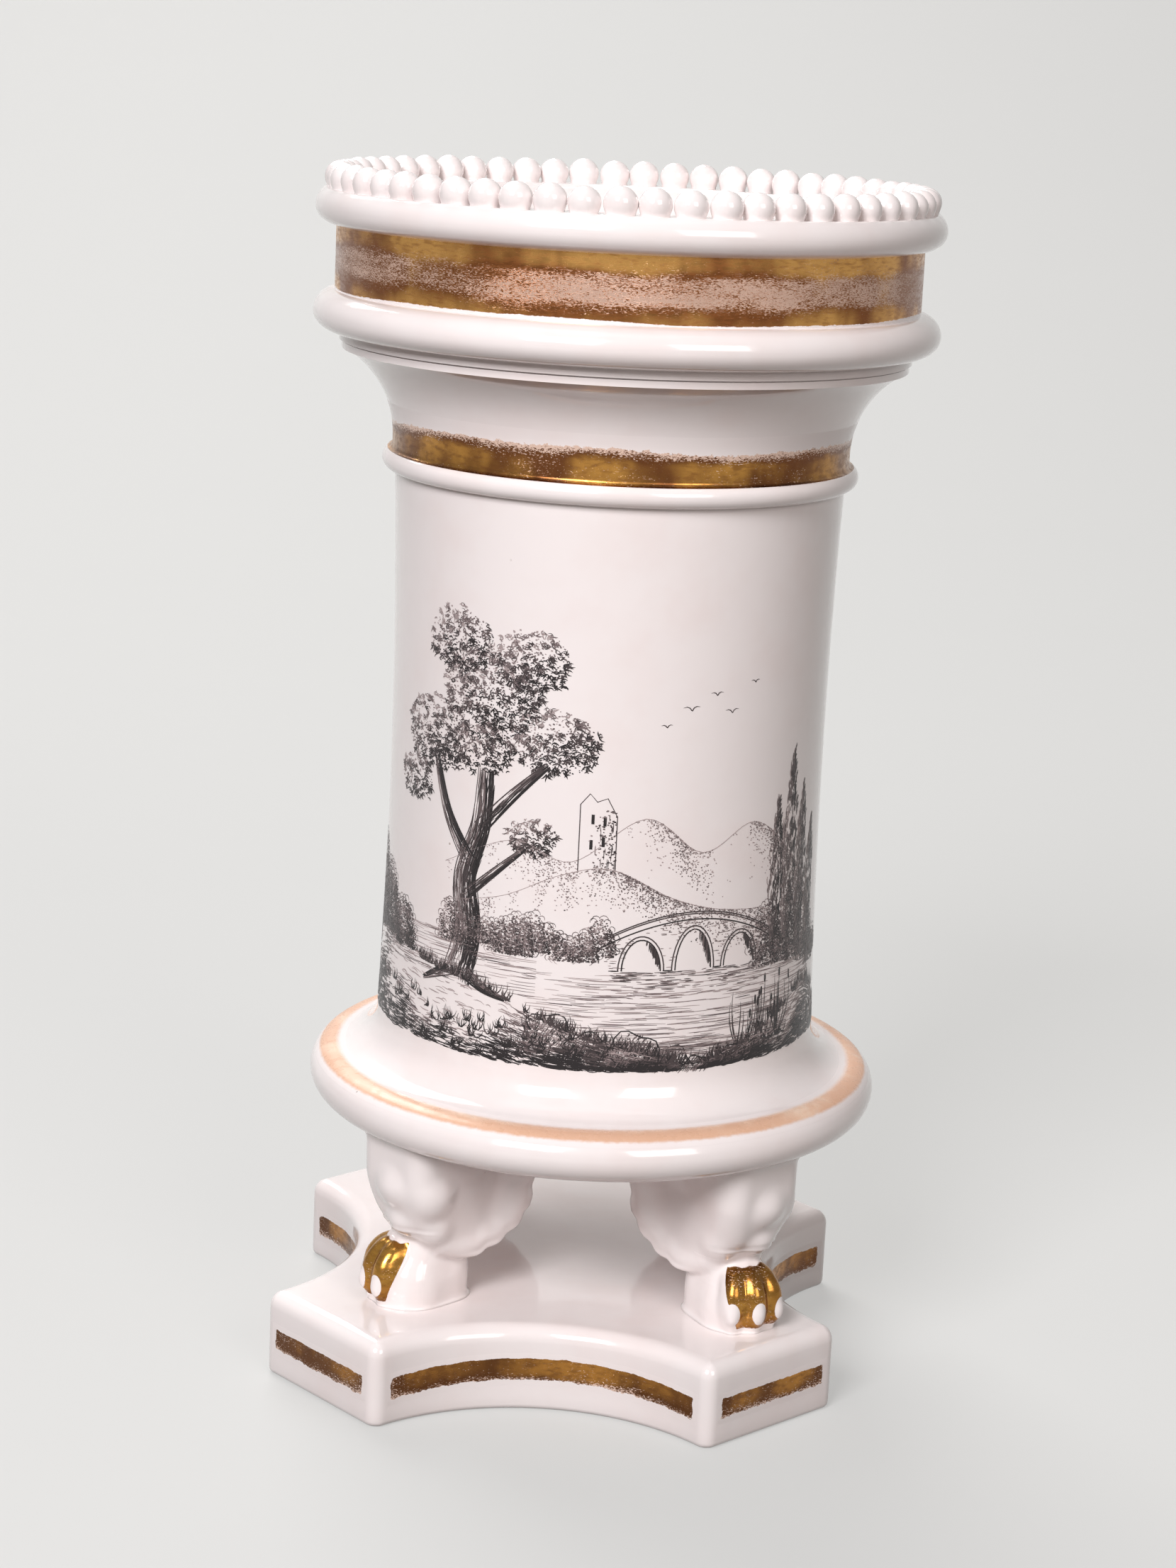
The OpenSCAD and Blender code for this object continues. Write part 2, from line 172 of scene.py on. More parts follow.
def skin(name: str, grid: Grid, marks: dict[str, Grid], wrap: bool) -> bpy.types.Object:
    """A thin closed layer that lies on a surface and runs out to almost nothing at its border.

    Args:
        name: the piece's name.
        grid: the surface below it, as rows of points in millimetres with the normals outward.
        marks: named values on the grid's points.
        wrap: whether the rows close on themselves.

    Returns:
        The new object.
    """
    rows, cols = grid.shape[:2]
    along = np.gradient(grid, axis=1)
    if wrap:
        along = np.roll(grid, -1, 1) - np.roll(grid, 1, 1)
    normal = np.cross(along, np.gradient(grid, axis=0))
    normal /= np.maximum(np.linalg.norm(normal, axis=-1, keepdims=True), TINY)
    count = rows * cols
    steps_in = np.minimum(np.arange(rows), np.arange(rows)[::-1])[:, None] + np.zeros(cols)
    if not wrap:
        steps_in = np.minimum(steps_in, np.minimum(np.arange(cols), np.arange(cols)[::-1]))
    thick = GILT_THICK * np.clip(BORDER_SHARE + steps_in / BORDER_STEPS, 0, 1)[..., None]
    points = np.concatenate([(grid + normal * thick).reshape(-1, 3), grid.reshape(-1, 3)])
    top = grid_faces(rows, cols, wrap)
    faces = top + [tuple(i + count for i in reversed(f)) for f in top]
    last = (rows - 1) * cols
    for i in range(cols if wrap else cols - 1):
        j = (i + 1) % cols
        faces += [(i + count, j + count, j, i), (last + i, last + j, last + j + count, last + i + count)]
    if not wrap:
        for k in range(rows - 1):
            a, b = k * cols, (k + 1) * cols
            c, d = a + cols - 1, b + cols - 1
            faces += [(a, b, b + count, a + count), (c + count, d + count, d, c)]
    doubled = {key: np.concatenate([v.ravel(), v.ravel()]) for key, v in marks.items()}
    return make_piece(name, points, faces, doubled, outward=False)


def fit_out(
    piece: bpy.types.Object, finish: bpy.types.Material, nodes: Sequence[str] = ()
) -> None:
    """Gives a piece its finish and its place in the shared frame, and reports it.

    Args:
        piece: the piece.
        finish: its material.
        nodes: the CAD nodes that it stands for.
    """
    piece.data.materials.append(finish)
    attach(piece, "root")
    if nodes:
        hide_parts(*nodes)
    LOG.info("%s: %d faces, for %s", piece.name, len(piece.data.polygons), ", ".join(nodes) or "no node")


def lay_gold(
    name: str,
    grid: Grid,
    marks: tuple[Grid, Grid],
    finish: bpy.types.Material,
    node: str,
    wrap: bool = False,
) -> None:
    """Gilds a part of a surface.

    Args:
        name: the piece's name.
        grid: the surface below it, as rows of points with the normals outward.
        marks: how far the points lie inside its painted edge, and how much they are rubbed, which also
            darkens the gold, in places as painted shade.
        finish: the gilding.
        node: the CAD node that it stands for.
        wrap: whether the rows close on themselves.
    """
    inside, rub = (np.broadcast_to(mark, grid.shape[:2]) for mark in marks)
    fit_out(skin(name, grid, {"inside": inside, "rub": rub}, wrap), finish, [node])


@dataclass
class Outline:
    """A half section that is turned about the vase's axis."""

    points: list[Point2] = field(default_factory=list)

    def line(self, r: float, z: float, steps: int = 1) -> "Outline":
        """Goes straight on.

        Args:
            r: radius at which the line ends.
            z: height at which it ends.
            steps: number of steps.

        Returns:
            The outline itself.
        """
        r0, z0 = self.points[-1] if self.points else (r, z)
        for k in range(1, steps + 1):
            self.points.append((r0 + (r - r0) * k / steps, z0 + (z - z0) * k / steps))
        return self

    def arc(
        self,
        r: float,
        z: float,
        radius: float,
        start: float,
        end: float,
        steps: int,
        tall: float | None = None,
    ) -> "Outline":
        """Adds an arc of a circle, or of an oval.

        Args:
            r: radius at which its centre lies.
            z: height of its centre.
            radius: its radius.
            start: first angle, in degrees from outward.
            end: last angle.
            steps: number of steps.
            tall: half height of an oval; None makes a circle.

        Returns:
            The outline itself.
        """
        for k in range(steps + 1):
            c, s = cos_sin(start + (end - start) * k / steps)
            self.points.append((r + radius * c, z + (tall or radius) * s))
        return self

    def turn(self, name: str, closed: bool = True) -> bpy.types.Object:
        """Turns the outline into a piece.

        Args:
            name: the piece's name.
            closed: whether the last point joins the first; otherwise both lie on the axis.

        Returns:
            The turned object.
        """
        clean = [p for k, p in enumerate(self.points) if k == 0 or math.dist(p, self.points[k - 1]) > 1e-4]
        r, z = np.array(clean if closed else clean[1:-1]).T
        angle = np.linspace(0, 2 * math.pi, SEGMENTS, endpoint=False)
        points = turned(r[:, None], angle[None, :], z[:, None]).reshape(-1, 3)
        faces: list[Sequence[int]] = list(grid_faces(len(r), SEGMENTS, True))
        count = len(points)
        last = count - SEGMENTS
        for i in range(SEGMENTS):
            j = (i + 1) % SEGMENTS
            if closed:
                faces.append((last + i, last + j, j, i))
            else:
                faces += [(count, j, i), (count + 1, last + i, last + j)]
        if not closed:
            points = np.concatenate([points, [[0, 0, clean[0][1]], [0, 0, clean[-1][1]]]])
        return make_piece(name, points, faces)


class Surface:
    """A node material under construction."""

    def __init__(self, name: str) -> None:
        """Starts an empty material with a Principled shader.

        Args:
            name: the material's name.
        """
        self.material = bpy.data.materials.new(name)
        self.material.use_nodes = True
        self.tree = self.material.node_tree
        self.shader = self.tree.nodes["Principled BSDF"]

    def feed(self, target: Socket, value: object) -> None:
        """Links a socket into a target, or sets a plain value on it.

        Args:
            target: the socket that is fed.
            value: another node's socket, or a plain value.
        """
        if isinstance(value, bpy.types.NodeSocket):
            self.tree.links.new(value, target)
        else:
            target.default_value = value

    def node(self, kind: str, feeds: dict[str | int, object], **settings: object) -> bpy.types.Node:
        """Adds a node.

        Args:
            kind: its type.
            feeds: sockets or plain values for its inputs, by their names or numbers.
            settings: its own settings.

        Returns:
            The node.
        """
        made = self.tree.nodes.new(kind)
        for key, value in settings.items():
            setattr(made, key, value)
        for key, value in feeds.items():
            self.feed(made.inputs[key], value)
        return made

    def place(self, squash: float = 1.0) -> Socket:
        """Finds the point on the piece in millimetres.

        Args:
            squash: what its height is multiplied by.

        Returns:
            The point.
        """
        feeds = {"Vector": self.node("ShaderNodeTexCoord", {}).outputs["Object"]}
        feeds["Scale"] = (1 / MM, 1 / MM, squash / MM)
        return self.node("ShaderNodeMapping", feeds).outputs["Vector"]

    def mark(self, name: str) -> Socket:
        """A named value that the piece's points carry."""
        return self.node("ShaderNodeAttribute", {}, attribute_name=name).outputs["Fac"]

    def noise(self, where: Socket, scale: float, detail: float = 3.0, rough: float = 0.55) -> Socket:
        """Cloudy noise from 0 to 1, with scale in features per millimetre."""
        feeds = {"Vector": where, "Scale": scale, "Detail": detail, "Roughness": rough}
        return self.node("ShaderNodeTexNoise", feeds).outputs["Fac"]

    def swing(self, gain: float, where: Socket, *shape: float) -> Socket:
        """Cloudy noise about zero, times gain, with the noise's scale, detail and roughness as its shape."""
        return self.math("MULTIPLY", self.math("SUBTRACT", self.noise(where, *shape), 0.5), gain)

    def math(self, operation: str, a: object, b: object) -> Socket:
        """A sum, product or other operation on two values."""
        return self.node("ShaderNodeMath", {0: a, 1: b}, operation=operation).outputs[0]

    def step(
        self, value: object, low: float, high: float, to_low: float = 0.0, to_high: float = 1.0
    ) -> Socket:
        """A smooth step from to_low to to_high, as the value goes from low to high."""
        feeds = dict(enumerate((value, low, high, to_low, to_high)))
        return self.node("ShaderNodeMapRange", feeds, interpolation_type="SMOOTHSTEP").outputs[0]

    def mix(self, share: object, a: object, b: object) -> Socket:
        """Blends two colours by a share from 0 to 1."""
        feeds = {"Factor": share, "A": a, "B": b}
        return self.node("ShaderNodeMix", feeds, data_type="RGBA").outputs["Result"]

    def blend(self, share: object, a: object, b: object) -> Socket:
        """Blends two numbers by a share from 0 to 1."""
        return self.node("ShaderNodeMix", {0: share, 2: a, 3: b}, data_type="FLOAT").outputs[0]

    def bump(self, height: Socket, depth: float, strength: float) -> None:
        """Raises the surface by a height from 0 to 1, with depth in millimetres."""
        feeds = {"Strength": strength, "Distance": depth * MM, "Height": height}
        self.set("Normal", self.node("ShaderNodeBump", feeds).outputs["Normal"])

    def set(self, name: str, value: object) -> None:
        """Feeds a socket of the shader."""
        self.feed(self.shader.inputs[name], value)


@dataclass(frozen=True)
class Glaze:
    """White porcelain under a clear gloss glaze, with faint clouding, a faint ripple and kiln specks."""

    white: Colour = (0.905, 0.84, 0.83, 1)
    cloud: Colour = (0.885, 0.8, 0.785, 1)
    speck: Colour = (0.34, 0.27, 0.23, 1)
    gloss: float = 0.09
    dull: float = 0.18
    ior: float = 1.5
    coat: float = 0.6
    coat_rough: float = 0.04
    ripple: float = 0.06

    def paint(self, surface: Surface) -> Socket:
        """Makes the glaze's colour.

        Args:
            surface: the material that the nodes are added to.

        Returns:
            The colour socket.
        """
        where = surface.place()
        clouds = surface.step(surface.noise(where, 0.11, 3, 0.6), 0.42, 0.72)
        body = surface.mix(clouds, self.white, self.cloud)
        cells = surface.node("ShaderNodeTexVoronoi", {"Vector": where, "Scale": 0.28})
        chosen = surface.step(surface.noise(where, 0.2, 1), 0.6, 0.66)
        dot = surface.step(cells.outputs["Distance"], 0.02, 0.045, 0.75, 0.0)
        return surface.mix(surface.math("MULTIPLY", chosen, dot), body, self.speck)

    def material(self, name: str) -> bpy.types.Material:
        """Makes the finished glaze.

        Args:
            name: the material's name.

        Returns:
            The material.
        """
        surface = Surface(name)
        surface.set("Base Color", self.paint(surface))
        where = surface.place()
        patches = surface.noise(where, 0.35, 4)
        surface.set("Roughness", surface.step(patches, 0.3, 0.75, self.gloss, self.dull))
        surface.set("IOR", self.ior)
        surface.set("Coat Weight", self.coat)
        surface.set("Coat Roughness", self.coat_rough)
        surface.bump(surface.noise(where, 0.22, 3, 0.5), self.ripple, 0.55)
        return surface.material


@dataclass(frozen=True)
class Gilt:
    """Fired gold that is rubbed through to the glaze in places."""

    dark: Colour = (0.13, 0.052, 0.02, 1)
    bright: Colour = (0.48, 0.22, 0.05, 1)
    ragged: float = 0.2
    soft: float = 0.07
    rough: float = 0.26
    metal: float = 1.0
    streak: float = 2.4
    speck_scale: float = 4.0
    rubbed: float = 0.85
    worn: Colour = (0.9, 0.66, 0.54, 1)
    brightest: float = 0.62
    glaze: Glaze = Glaze()

    def material(self, name: str) -> bpy.types.Material:
        """The finished gilding, which reads two marks: how far a point lies inside the painted edge, and how
        much it is rubbed, which also darkens the gold and in places is painted shade.

        Args:
            name: the material's name.

        Returns:
            The material.
        """
        surface = Surface(name)
        where = surface.place()
        streaks = surface.place(self.streak)
        give = surface.math("ADD", surface.math("MULTIPLY", surface.mark("rub"), 1.3), 0.35)
        fray = surface.math("MULTIPLY", surface.swing(4 * self.ragged, where, 1.4, 5, 0.65), give)
        edge = surface.step(surface.math("ADD", surface.mark("inside"), fray), 0.0, self.soft)
        patch = surface.swing(0.9, streaks, 0.12, 2)
        wiped = surface.swing(0.5, surface.place(7), 0.5, 3)
        rub = surface.math("ADD", surface.mark("rub"), surface.math("ADD", patch, wiped))
        grain = surface.noise(streaks, self.speck_scale, 3, 0.7)
        bare = surface.step(surface.math("ADD", grain, surface.math("MULTIPLY", rub, 0.42)), 0.65, 0.77)
        thin = surface.math("MULTIPLY", bare, self.rubbed)
        cover = surface.math("MULTIPLY", edge, surface.math("SUBTRACT", 1.0, thin))
        # The rub mark also paints the gold darker: wear, and painted shade at the plinth strips' ends and at
        # the narrow band's top.
        rub_and_shade_darkening = surface.math("MULTIPLY", surface.mark("rub"), 0.6)
        shine = surface.math("SUBTRACT", surface.noise(surface.place(0.6), 0.16, 3), rub_and_shade_darkening)
        fresh = surface.mix(surface.step(shine, 0.3, self.brightest), self.dark, self.bright)
        brushed = surface.noise(streaks, 0.9, 4)
        gold = surface.mix(surface.step(brushed, 0.42, 0.7, 0.0, 0.55), fresh, self.dark)
        left = surface.mix(thin, gold, self.worn)
        surface.set("Base Color", surface.mix(edge, self.glaze.paint(surface), left))
        surface.set("Metallic", surface.math("MULTIPLY", cover, self.metal))
        matt = surface.step(brushed, 0.3, 0.7, self.rough - 0.08, self.rough + 0.1)
        surface.set("Roughness", surface.blend(cover, self.glaze.gloss, matt))
        surface.set("IOR", self.glaze.ior)
        surface.bump(cover, 0.02, 0.5)
        return surface.material


STRIP_GOLD = Gilt()
TOE_GOLD = Gilt(dark=(0.2, 0.08, 0.018, 1), bright=(0.55, 0.28, 0.06, 1), ragged=0.08, rough=0.2)
WIDE_GOLD = Gilt(
    dark=(0.25, 0.09, 0.03, 1), bright=(0.75, 0.4, 0.12, 1), rubbed=0.6, speck_scale=3.6, streak=4.0
)
NARROW_GOLD = Gilt(dark=(0.16, 0.06, 0.022, 1), bright=(0.56, 0.28, 0.065, 1), ragged=0.22)
PEACH_LINE = Gilt(
    dark=(0.76, 0.46, 0.31, 1),
    bright=(0.9, 0.66, 0.5, 1),
    ragged=0.12,
    soft=0.45,
    rough=0.3,
    metal=0.0,
    rubbed=0.12,
)


class Ink(Enum):
    """Grey-black printing ink in the four strengths that the plate laid down."""

    BLACK = (0.015, 0.011, 0.012, 1)
    DARK = (0.06, 0.045, 0.046, 1)
    MID = (0.18, 0.138, 0.138, 1)
    PALE = (0.4, 0.325, 0.32, 1)

    def material(self) -> bpy.types.Material:
        """Makes the ink of this strength, under the glaze's gloss.

        Returns:
            The material.
        """
        surface = Surface(f"print_ink_{self.name.lower()}")
        surface.set("Base Color", self.value)
        surface.set("Roughness", 0.3)
        surface.set("IOR", 1.45)
        return surface.material


@dataclass(frozen=True)
class Fade:
    """A value that fades away from an edge, by its amount at the edge and its reach."""

    amount: float
    reach: float

    def at(self, way: Grid) -> Grid:
        """The value at a distance from the edge."""
        return self.amount * np.exp(-way / self.reach)


@dataclass(frozen=True)
class Hump:
    """A rounded rise about a middle, steeper at its sides with a higher power."""

    amount: float
    middle: float
    width: float
    power: int = 2

    def at(self, way: Grid) -> Grid:
        """The rise at a place."""
        return self.amount * np.exp(-(((way - self.middle) / self.width) ** self.power))


@dataclass(frozen=True)
class Strip:
    """A gilt strip on one face of the plinth, with the face turned about the plinth's middle in radians."""

    name: str
    node: str
    face: Callable[[Grid], tuple[Grid, Grid]]
    turn: float
    length: float
    tall: float
    bow: float
    steps: int


@dataclass
class Plinth:
    """The hollow-sided slab with cut corners, set a little to the left of the vase's axis."""

    height: float = 8.8
    half: float = 29.0
    side_half: float = 16.2
    waist: float = 21.8
    edge: float = 1.6
    corner: float = 1.4
    under: float = 0.6
    shift: float = -2.3
    strip_low: float = 3.0
    side_strip: float = 2.3
    corner_strip: float = 2.1
    bare_end: float = 2.0
    side_bow: float = 0.6
    margin: float = 0.55
    sway: float = 0.03
    rubbed: float = 0.02
    rubbed_foot: Fade = Fade(0.5, 0.45)
    # Rub at the strips' ends, which also paints their gold darker there: painted shade standing for a dark
    # reflection.
    end_rub_and_shade: Fade = Fade(0.2, 1.8)
    sag: float = 0.05

    def __post_init__(self) -> None:
        """Works out the arc of a hollowed side, and the reach and length of a cut corner."""
        depth = self.half - self.waist
        self.side_r = (self.side_half**2 + depth**2) / (2 * depth)
        self.side_c = self.waist + self.side_r
        self.corner_reach = (self.half + self.side_half) / math.sqrt(2)
        self.corner_l = (self.half - self.side_half) * math.sqrt(2)

    def outline(self, inset: float) -> Grid:
        """The slab's outline.

        Args:
            inset: how far it is drawn in all round.

        Returns:
            Points of x and y, anticlockwise.
        """
        r = self.side_r + inset
        fillet = max(self.corner - inset, 0.04)
        reach = self.corner_reach - inset - fillet
        root = self.side_c / math.sqrt(2)
        across = -root + math.sqrt((r + fillet) ** 2 - (reach - root) ** 2)
        cx, cy = (reach + across) / math.sqrt(2), (across - reach) / math.sqrt(2)
        to_hollow = math.atan2(-self.side_c - cy, -cx)
        start, end = math.atan2(cy + self.side_c, -cx), math.atan2(cy + self.side_c, cx)
        side = arc_points((-cx, cy), fillet, math.radians(-135), -math.pi - to_hollow, 8)
        side += arc_points((0, -self.side_c), r, start, end, 48)[1:-1]
        side += arc_points((cx, cy), fillet, to_hollow, math.radians(-45), 8)
        turn = np.array([[0, 1], [-1, 0]])
        first = np.array(side)
        nxt = first @ turn
        flat = [first[-1] + (nxt[0] - first[-1]) * k / 10 for k in range(1, 10)]
        quarter = np.concatenate([first, np.array(flat)])
        quarters = [quarter]
        for _ in range(3):
            quarters.append(quarters[-1] @ turn)
        return np.concatenate(quarters)

    def build(self) -> bpy.types.Object:
        """Makes the slab with soft edges and a slightly uneven top.

        Returns:
            The slab.
        """
        rings: list[Grid] = []

        def ring(inset: float, z: float, scale: float = 1.0) -> None:
            """Adds an outline at height z, drawn in by inset and then scaled."""
            flat = self.outline(inset) * scale
            rings.append(np.column_stack([flat, np.full(len(flat), z)]))

        for scale in (0.05, 0.4, 0.8, 0.96):
            ring(self.under, 0, scale)
        for k in range(5):
            c, s = cos_sin(90 * k / 4)
            ring(self.under * (1 - s), self.under * (1 - c))
        for k in range(1, 7):
            ring(0, self.under + (self.height - self.edge - self.under) * k / 7)
        for k in range(9):
            c, s = cos_sin(90 * k / 8)
            ring(self.edge * (1 - c), self.height - self.edge * (1 - s))
        for scale in (0.985, 0.95, 0.9, 0.82, 0.7, 0.55, 0.4, 0.25, 0.1, 0.02):
            ring(self.edge, self.height, scale)
        points = np.stack(rings)
        x, y, z = points[..., 0], points[..., 1], points[..., 2]
        uneven = np.sin(x / 6 + 1) * np.cos(y / 7) - 0.6
        points[..., 2] += self.sag * np.clip(z / self.height, 0, 1) ** 3 * uneven
        points[..., 0] += self.shift
        count = points.shape[1]
        faces = grid_faces(len(rings), count, True)
        last = (len(rings) - 1) * count
        faces += [tuple(range(count))[::-1], tuple(range(last, last + count))]
        return make_piece("plinth_slab", points, faces, crease=50)

    def hollow(self, s: Grid) -> tuple[Grid, Grid]:
        """x and y on a hollowed side at place s along it, before it is turned."""
        a = math.pi / 2 - s / self.side_r
        return self.side_r * np.cos(a), -self.side_c + self.side_r * np.sin(a)

    def flat(self, s: Grid) -> tuple[Grid, Grid]:
        """x and y on a cut corner at place s along it, before it is turned."""
        return self.corner_reach + 0 * s, s

    def lay(self, strip: Strip, finish: bpy.types.Material) -> None:
        """Paints one strip, which is rubbed along its foot, and rubbed and painted darker at its ends as
        painted shade standing for a dark reflection.

        Args:
            strip: the strip.
            finish: the gilding.
        """
        half = strip.length / 2
        along = np.linspace(-half - self.margin, half + self.margin, strip.steps)
        up = np.linspace(-self.margin, strip.tall + self.margin, 15)
        s, v = np.meshgrid(along, up)
        out, side = strip.face(s)
        c, w = math.cos(strip.turn), math.sin(strip.turn)
        x, y = out * c - side * w + self.shift, out * w + side * c
        lift = strip.bow * (np.cos(s / strip.length * math.pi) - 0.55) + self.sway * np.sin(s * 0.9 + x)
        grid = np.stack([x, y, self.strip_low + v + lift], -1)
        to_end = half - np.abs(s)
        inside = np.minimum(np.minimum(v, strip.tall - v), to_end)
        # The rub at the ends also darkens the gold there: painted shade for a dark reflection, as well as
        # wear.
        rub = self.rubbed + self.rubbed_foot.at(np.maximum(v, 0)) + self.end_rub_and_shade.at(to_end)
        lay_gold(strip.name, grid, (inside, rub), finish, strip.node)

    def gild(self, finish: bpy.types.Material) -> None:
        """Paints the strips in the hollowed sides and on the cut corners.

        Args:
            finish: the gilding.
        """
        node, tall = "plinth_side_gilding", self.side_strip
        length = 2 * self.side_r * math.asin(self.side_half / self.side_r) - 2 * self.bare_end
        for k in range(4):
            name, turn = f"plinth_side_strip_{k + 1}", math.pi / 2 * k
            self.lay(Strip(name, node, self.hollow, turn, length, tall, self.side_bow, 110), finish)
        node, tall = "plinth_corner_gilding", self.corner_strip
        length = self.corner_l - 2 * self.bare_end
        for corner in Corner:
            name, turn = f"plinth_corner_strip_{corner.name.lower()}", math.radians(corner.value)
            self.lay(Strip(name, node, self.flat, turn, length, tall, 0.0, 70), finish)


def ellipsoid(p: Grid, centre: Sequence[float], radii: Sequence[float]) -> Grid:
    """About how far points lie outside an ellipsoid.

    Args:
        p: the points.
        centre: its centre.
        radii: its three radii.

    Returns:
        The distances, negative inside.
    """
    q = (p - np.array(centre)) / np.array(radii)
    near = np.linalg.norm(q, axis=-1)
    steep = np.linalg.norm(q / np.array(radii), axis=-1)
    return near * (near - 1) / np.maximum(steep, 1e-6)


def soft_union(a: Grid, b: Grid, width: float) -> Grid:
    """Joins two forms, given by the distances to them, with a fillet of that width."""
    h = np.clip(0.5 + 0.5 * (b - a) / width, 0, 1)
    return b * (1 - h) + a * h - width * h * (1 - h)


def smooth_curve(points: Sequence[Point2], steps: int) -> Grid:
    """A smooth line through points.

    Args:
        points: the points that it passes.
        steps: steps between two of them.

    Returns:
        The points of the line.
    """
    p = np.array([points[0], *points, points[-1]], float)
    line = []
    for k in range(1, len(p) - 2):
        t = np.linspace(0, 1, steps, endpoint=False)[:, None]
        m1, m2 = (p[k + 1] - p[k - 1]) / 2, (p[k + 2] - p[k]) / 2
        d = p[k] - p[k + 1]
        line.append(p[k] + m1 * t + (-3 * d - 2 * m1 - m2) * t**2 + (2 * d + m1 + m2) * t**3)
    return np.concatenate([*line, p[-2:-1]])


@dataclass
class PawLegs:
    """Winged legs from one mould that end in a paw with gilded toes and white claws."""

    foot_z: float = 8.8
    height: float = 17.6
    corners: tuple[Corner, ...] = tuple(Corner)
    paw_turn: float = 0.0
    toe_lean: float = -15.0
    toe_pitch: float = 31.0
    heel_c: float = 19.8
    paw_c: float = 22.6
    wing_in: float = 10.6
    wing_half: float = 3.9
    knee: float = 26.9
    knee_half: float = 5.1
    columns: int = 200
    gilt_aim: float = -7.0
    gilt_turn: float = 40.0
    gilt_spread: float = 4.0
    gilt_low: float = 0.7
    gilt_top: float = 6.5
    gilt_scallop: float = 0.06
    claw_z: float = 2.4
    claw_bare: Point2 = (0.72, 1.1)
    wing_edge: tuple[Point2, ...] = (
        (10.5, 14), (10.5, 11.2), (10.9, 8.9), (12.1, 7.1),
        (14.0, 5.8), (16.4, 4.9), (19.0, 4.5), (21.2, 4.8),
    )
    knee_edge: tuple[Point2, ...] = (
        (22.6, 5.3), (23.4, 6.1), (24.6, 7.6), (25.6, 9.2),
        (26.3, 11), (26.7, 13), (26.8, 16), (26.7, 19),
    )
    wing_rim: tuple[Hump, Hump] = (Hump(0.34, -1.5, 0.9), Hump(0.16, -0.4, 0.3))
    dish_depth: float = 0.55
    lobe: float = 0.38
    lobe_step: float = 3.0
    ball: Lump = ((23.0, 0, 1.9), (4.0, 4.1, 3.9))
    instep: Lump = ((22.2, 0, 5.2), (2.8, 3.1, 3.4))
    heel_z: float = 2.2
    heel_radii: Sequence[float] = (3.0, 3.0, 6.4)
    toe: Lump = ((3.0, 0, 2.8), (2.35, 1.62, 3.2))
    knuckle: Lump = ((2.1, 0, 5.0), (1.95, 1.5, 1.6))
    claw_out: float = 5.1
    claw_radii: Sequence[float] = (0.52, 0.72, 1.05)
    tuft_join: float = 0.85
    paw_join: float = 0.5
    foot_fillet: Fade = Fade(0.5, 0.3)
    head_fillet: Fade = Fade(0.5, 0.45)
    toe_rubbed: float = 0.04
    toe_foot: Fade = Fade(0.35, 0.35)
    tufts: tuple[Lump, ...] = (
        ((24.8, 0.3, 12.8), (2.7, 2.8, 2.4)),
        ((23.9, 3.6, 12.2), (2.1, 1.7, 2.1)),
        ((24.4, 0.5, 9.1), (1.9, 2.0, 1.7)),
        ((23.0, 2.9, 8.5), (1.5, 1.35, 1.6)),
        ((22.8, -2.8, 8.8), (1.6, 1.35, 1.6)),
    )

    @property
    def toe_turns(self) -> tuple[float, ...]:
        """Turns of the three toes in degrees from the paw's own line."""
        return self.toe_lean - self.toe_pitch, self.toe_lean, self.toe_lean + self.toe_pitch

    def wing_outline(self) -> Grid:
        """The wing and knee seen from the side, with a scalloped lower edge.

        Returns:
            Points of distance out along the leg and height above the plinth.
        """
        lower = smooth_curve([(self.wing_in, 19), *self.wing_edge], 12)
        way = np.concatenate([[0], np.cumsum(np.linalg.norm(np.diff(lower, axis=0), axis=1))])
        side = np.gradient(lower, axis=0)
        side = np.column_stack([side[:, 1], -side[:, 0]]) / np.linalg.norm(side, axis=1, keepdims=True)
        lobes = self.lobe * (np.abs(np.sin(way / self.lobe_step * math.pi + 0.6)) - 0.62)
        lobes = lobes * np.clip((way - 3) / 2, 0, 1)
        lower = lower + side * (lobes * np.clip((19.5 - lower[:, 0]) / 2, 0, 1))[:, None]
        return np.concatenate([lower, smooth_curve(self.knee_edge, 8)])

    def wing_distance(self, s: Grid, z: Grid) -> Grid:
        """How far places lie outside the wing's outline.

        Args:
            s: distance out along the leg.
            z: height above the plinth.

        Returns:
            The distances, negative inside.
        """
        gs, gz, table = self.table
        i = np.clip((s - gs[0]) / (gs[1] - gs[0]), 0, len(gs) - 1.001)
        j = np.clip((z - gz[0]) / (gz[1] - gz[0]), 0, len(gz) - 1.001)
        i0, j0 = i.astype(int), j.astype(int)
        fi, fj = i - i0, j - j0
        low = table[j0, i0] * (1 - fi) + table[j0, i0 + 1] * fi
        high = table[j0 + 1, i0] * (1 - fi) + table[j0 + 1, i0 + 1] * fi
        return low * (1 - fj) + high * fj

    def __post_init__(self) -> None:
        """Works out once how far places lie outside the wing's outline."""
        loop = self.wing_outline()
        gs, gz = np.linspace(4, 32, 281), np.linspace(-1, 19, 201)
        ps, pz = np.meshgrid(gs, gz)
        nearest = np.full(ps.shape, 1e9)
        inside = np.zeros(ps.shape, bool)
        for a, b in zip(loop, np.roll(loop, -1, axis=0)):
            e, w0, w1 = b - a, ps - a[0], pz - a[1]
            t = np.clip((w0 * e[0] + w1 * e[1]) / max(e @ e, TINY), 0, 1)
            nearest = np.minimum(nearest, np.hypot(w0 - e[0] * t, w1 - e[1] * t))
            cross = (a[1] > pz) != (b[1] > pz)
            with np.errstate(divide="ignore", invalid="ignore"):
                inside ^= cross & (ps < a[0] + (pz - a[1]) * e[0] / e[1])
        self.table = gs, gz, np.where(inside, -nearest, nearest)

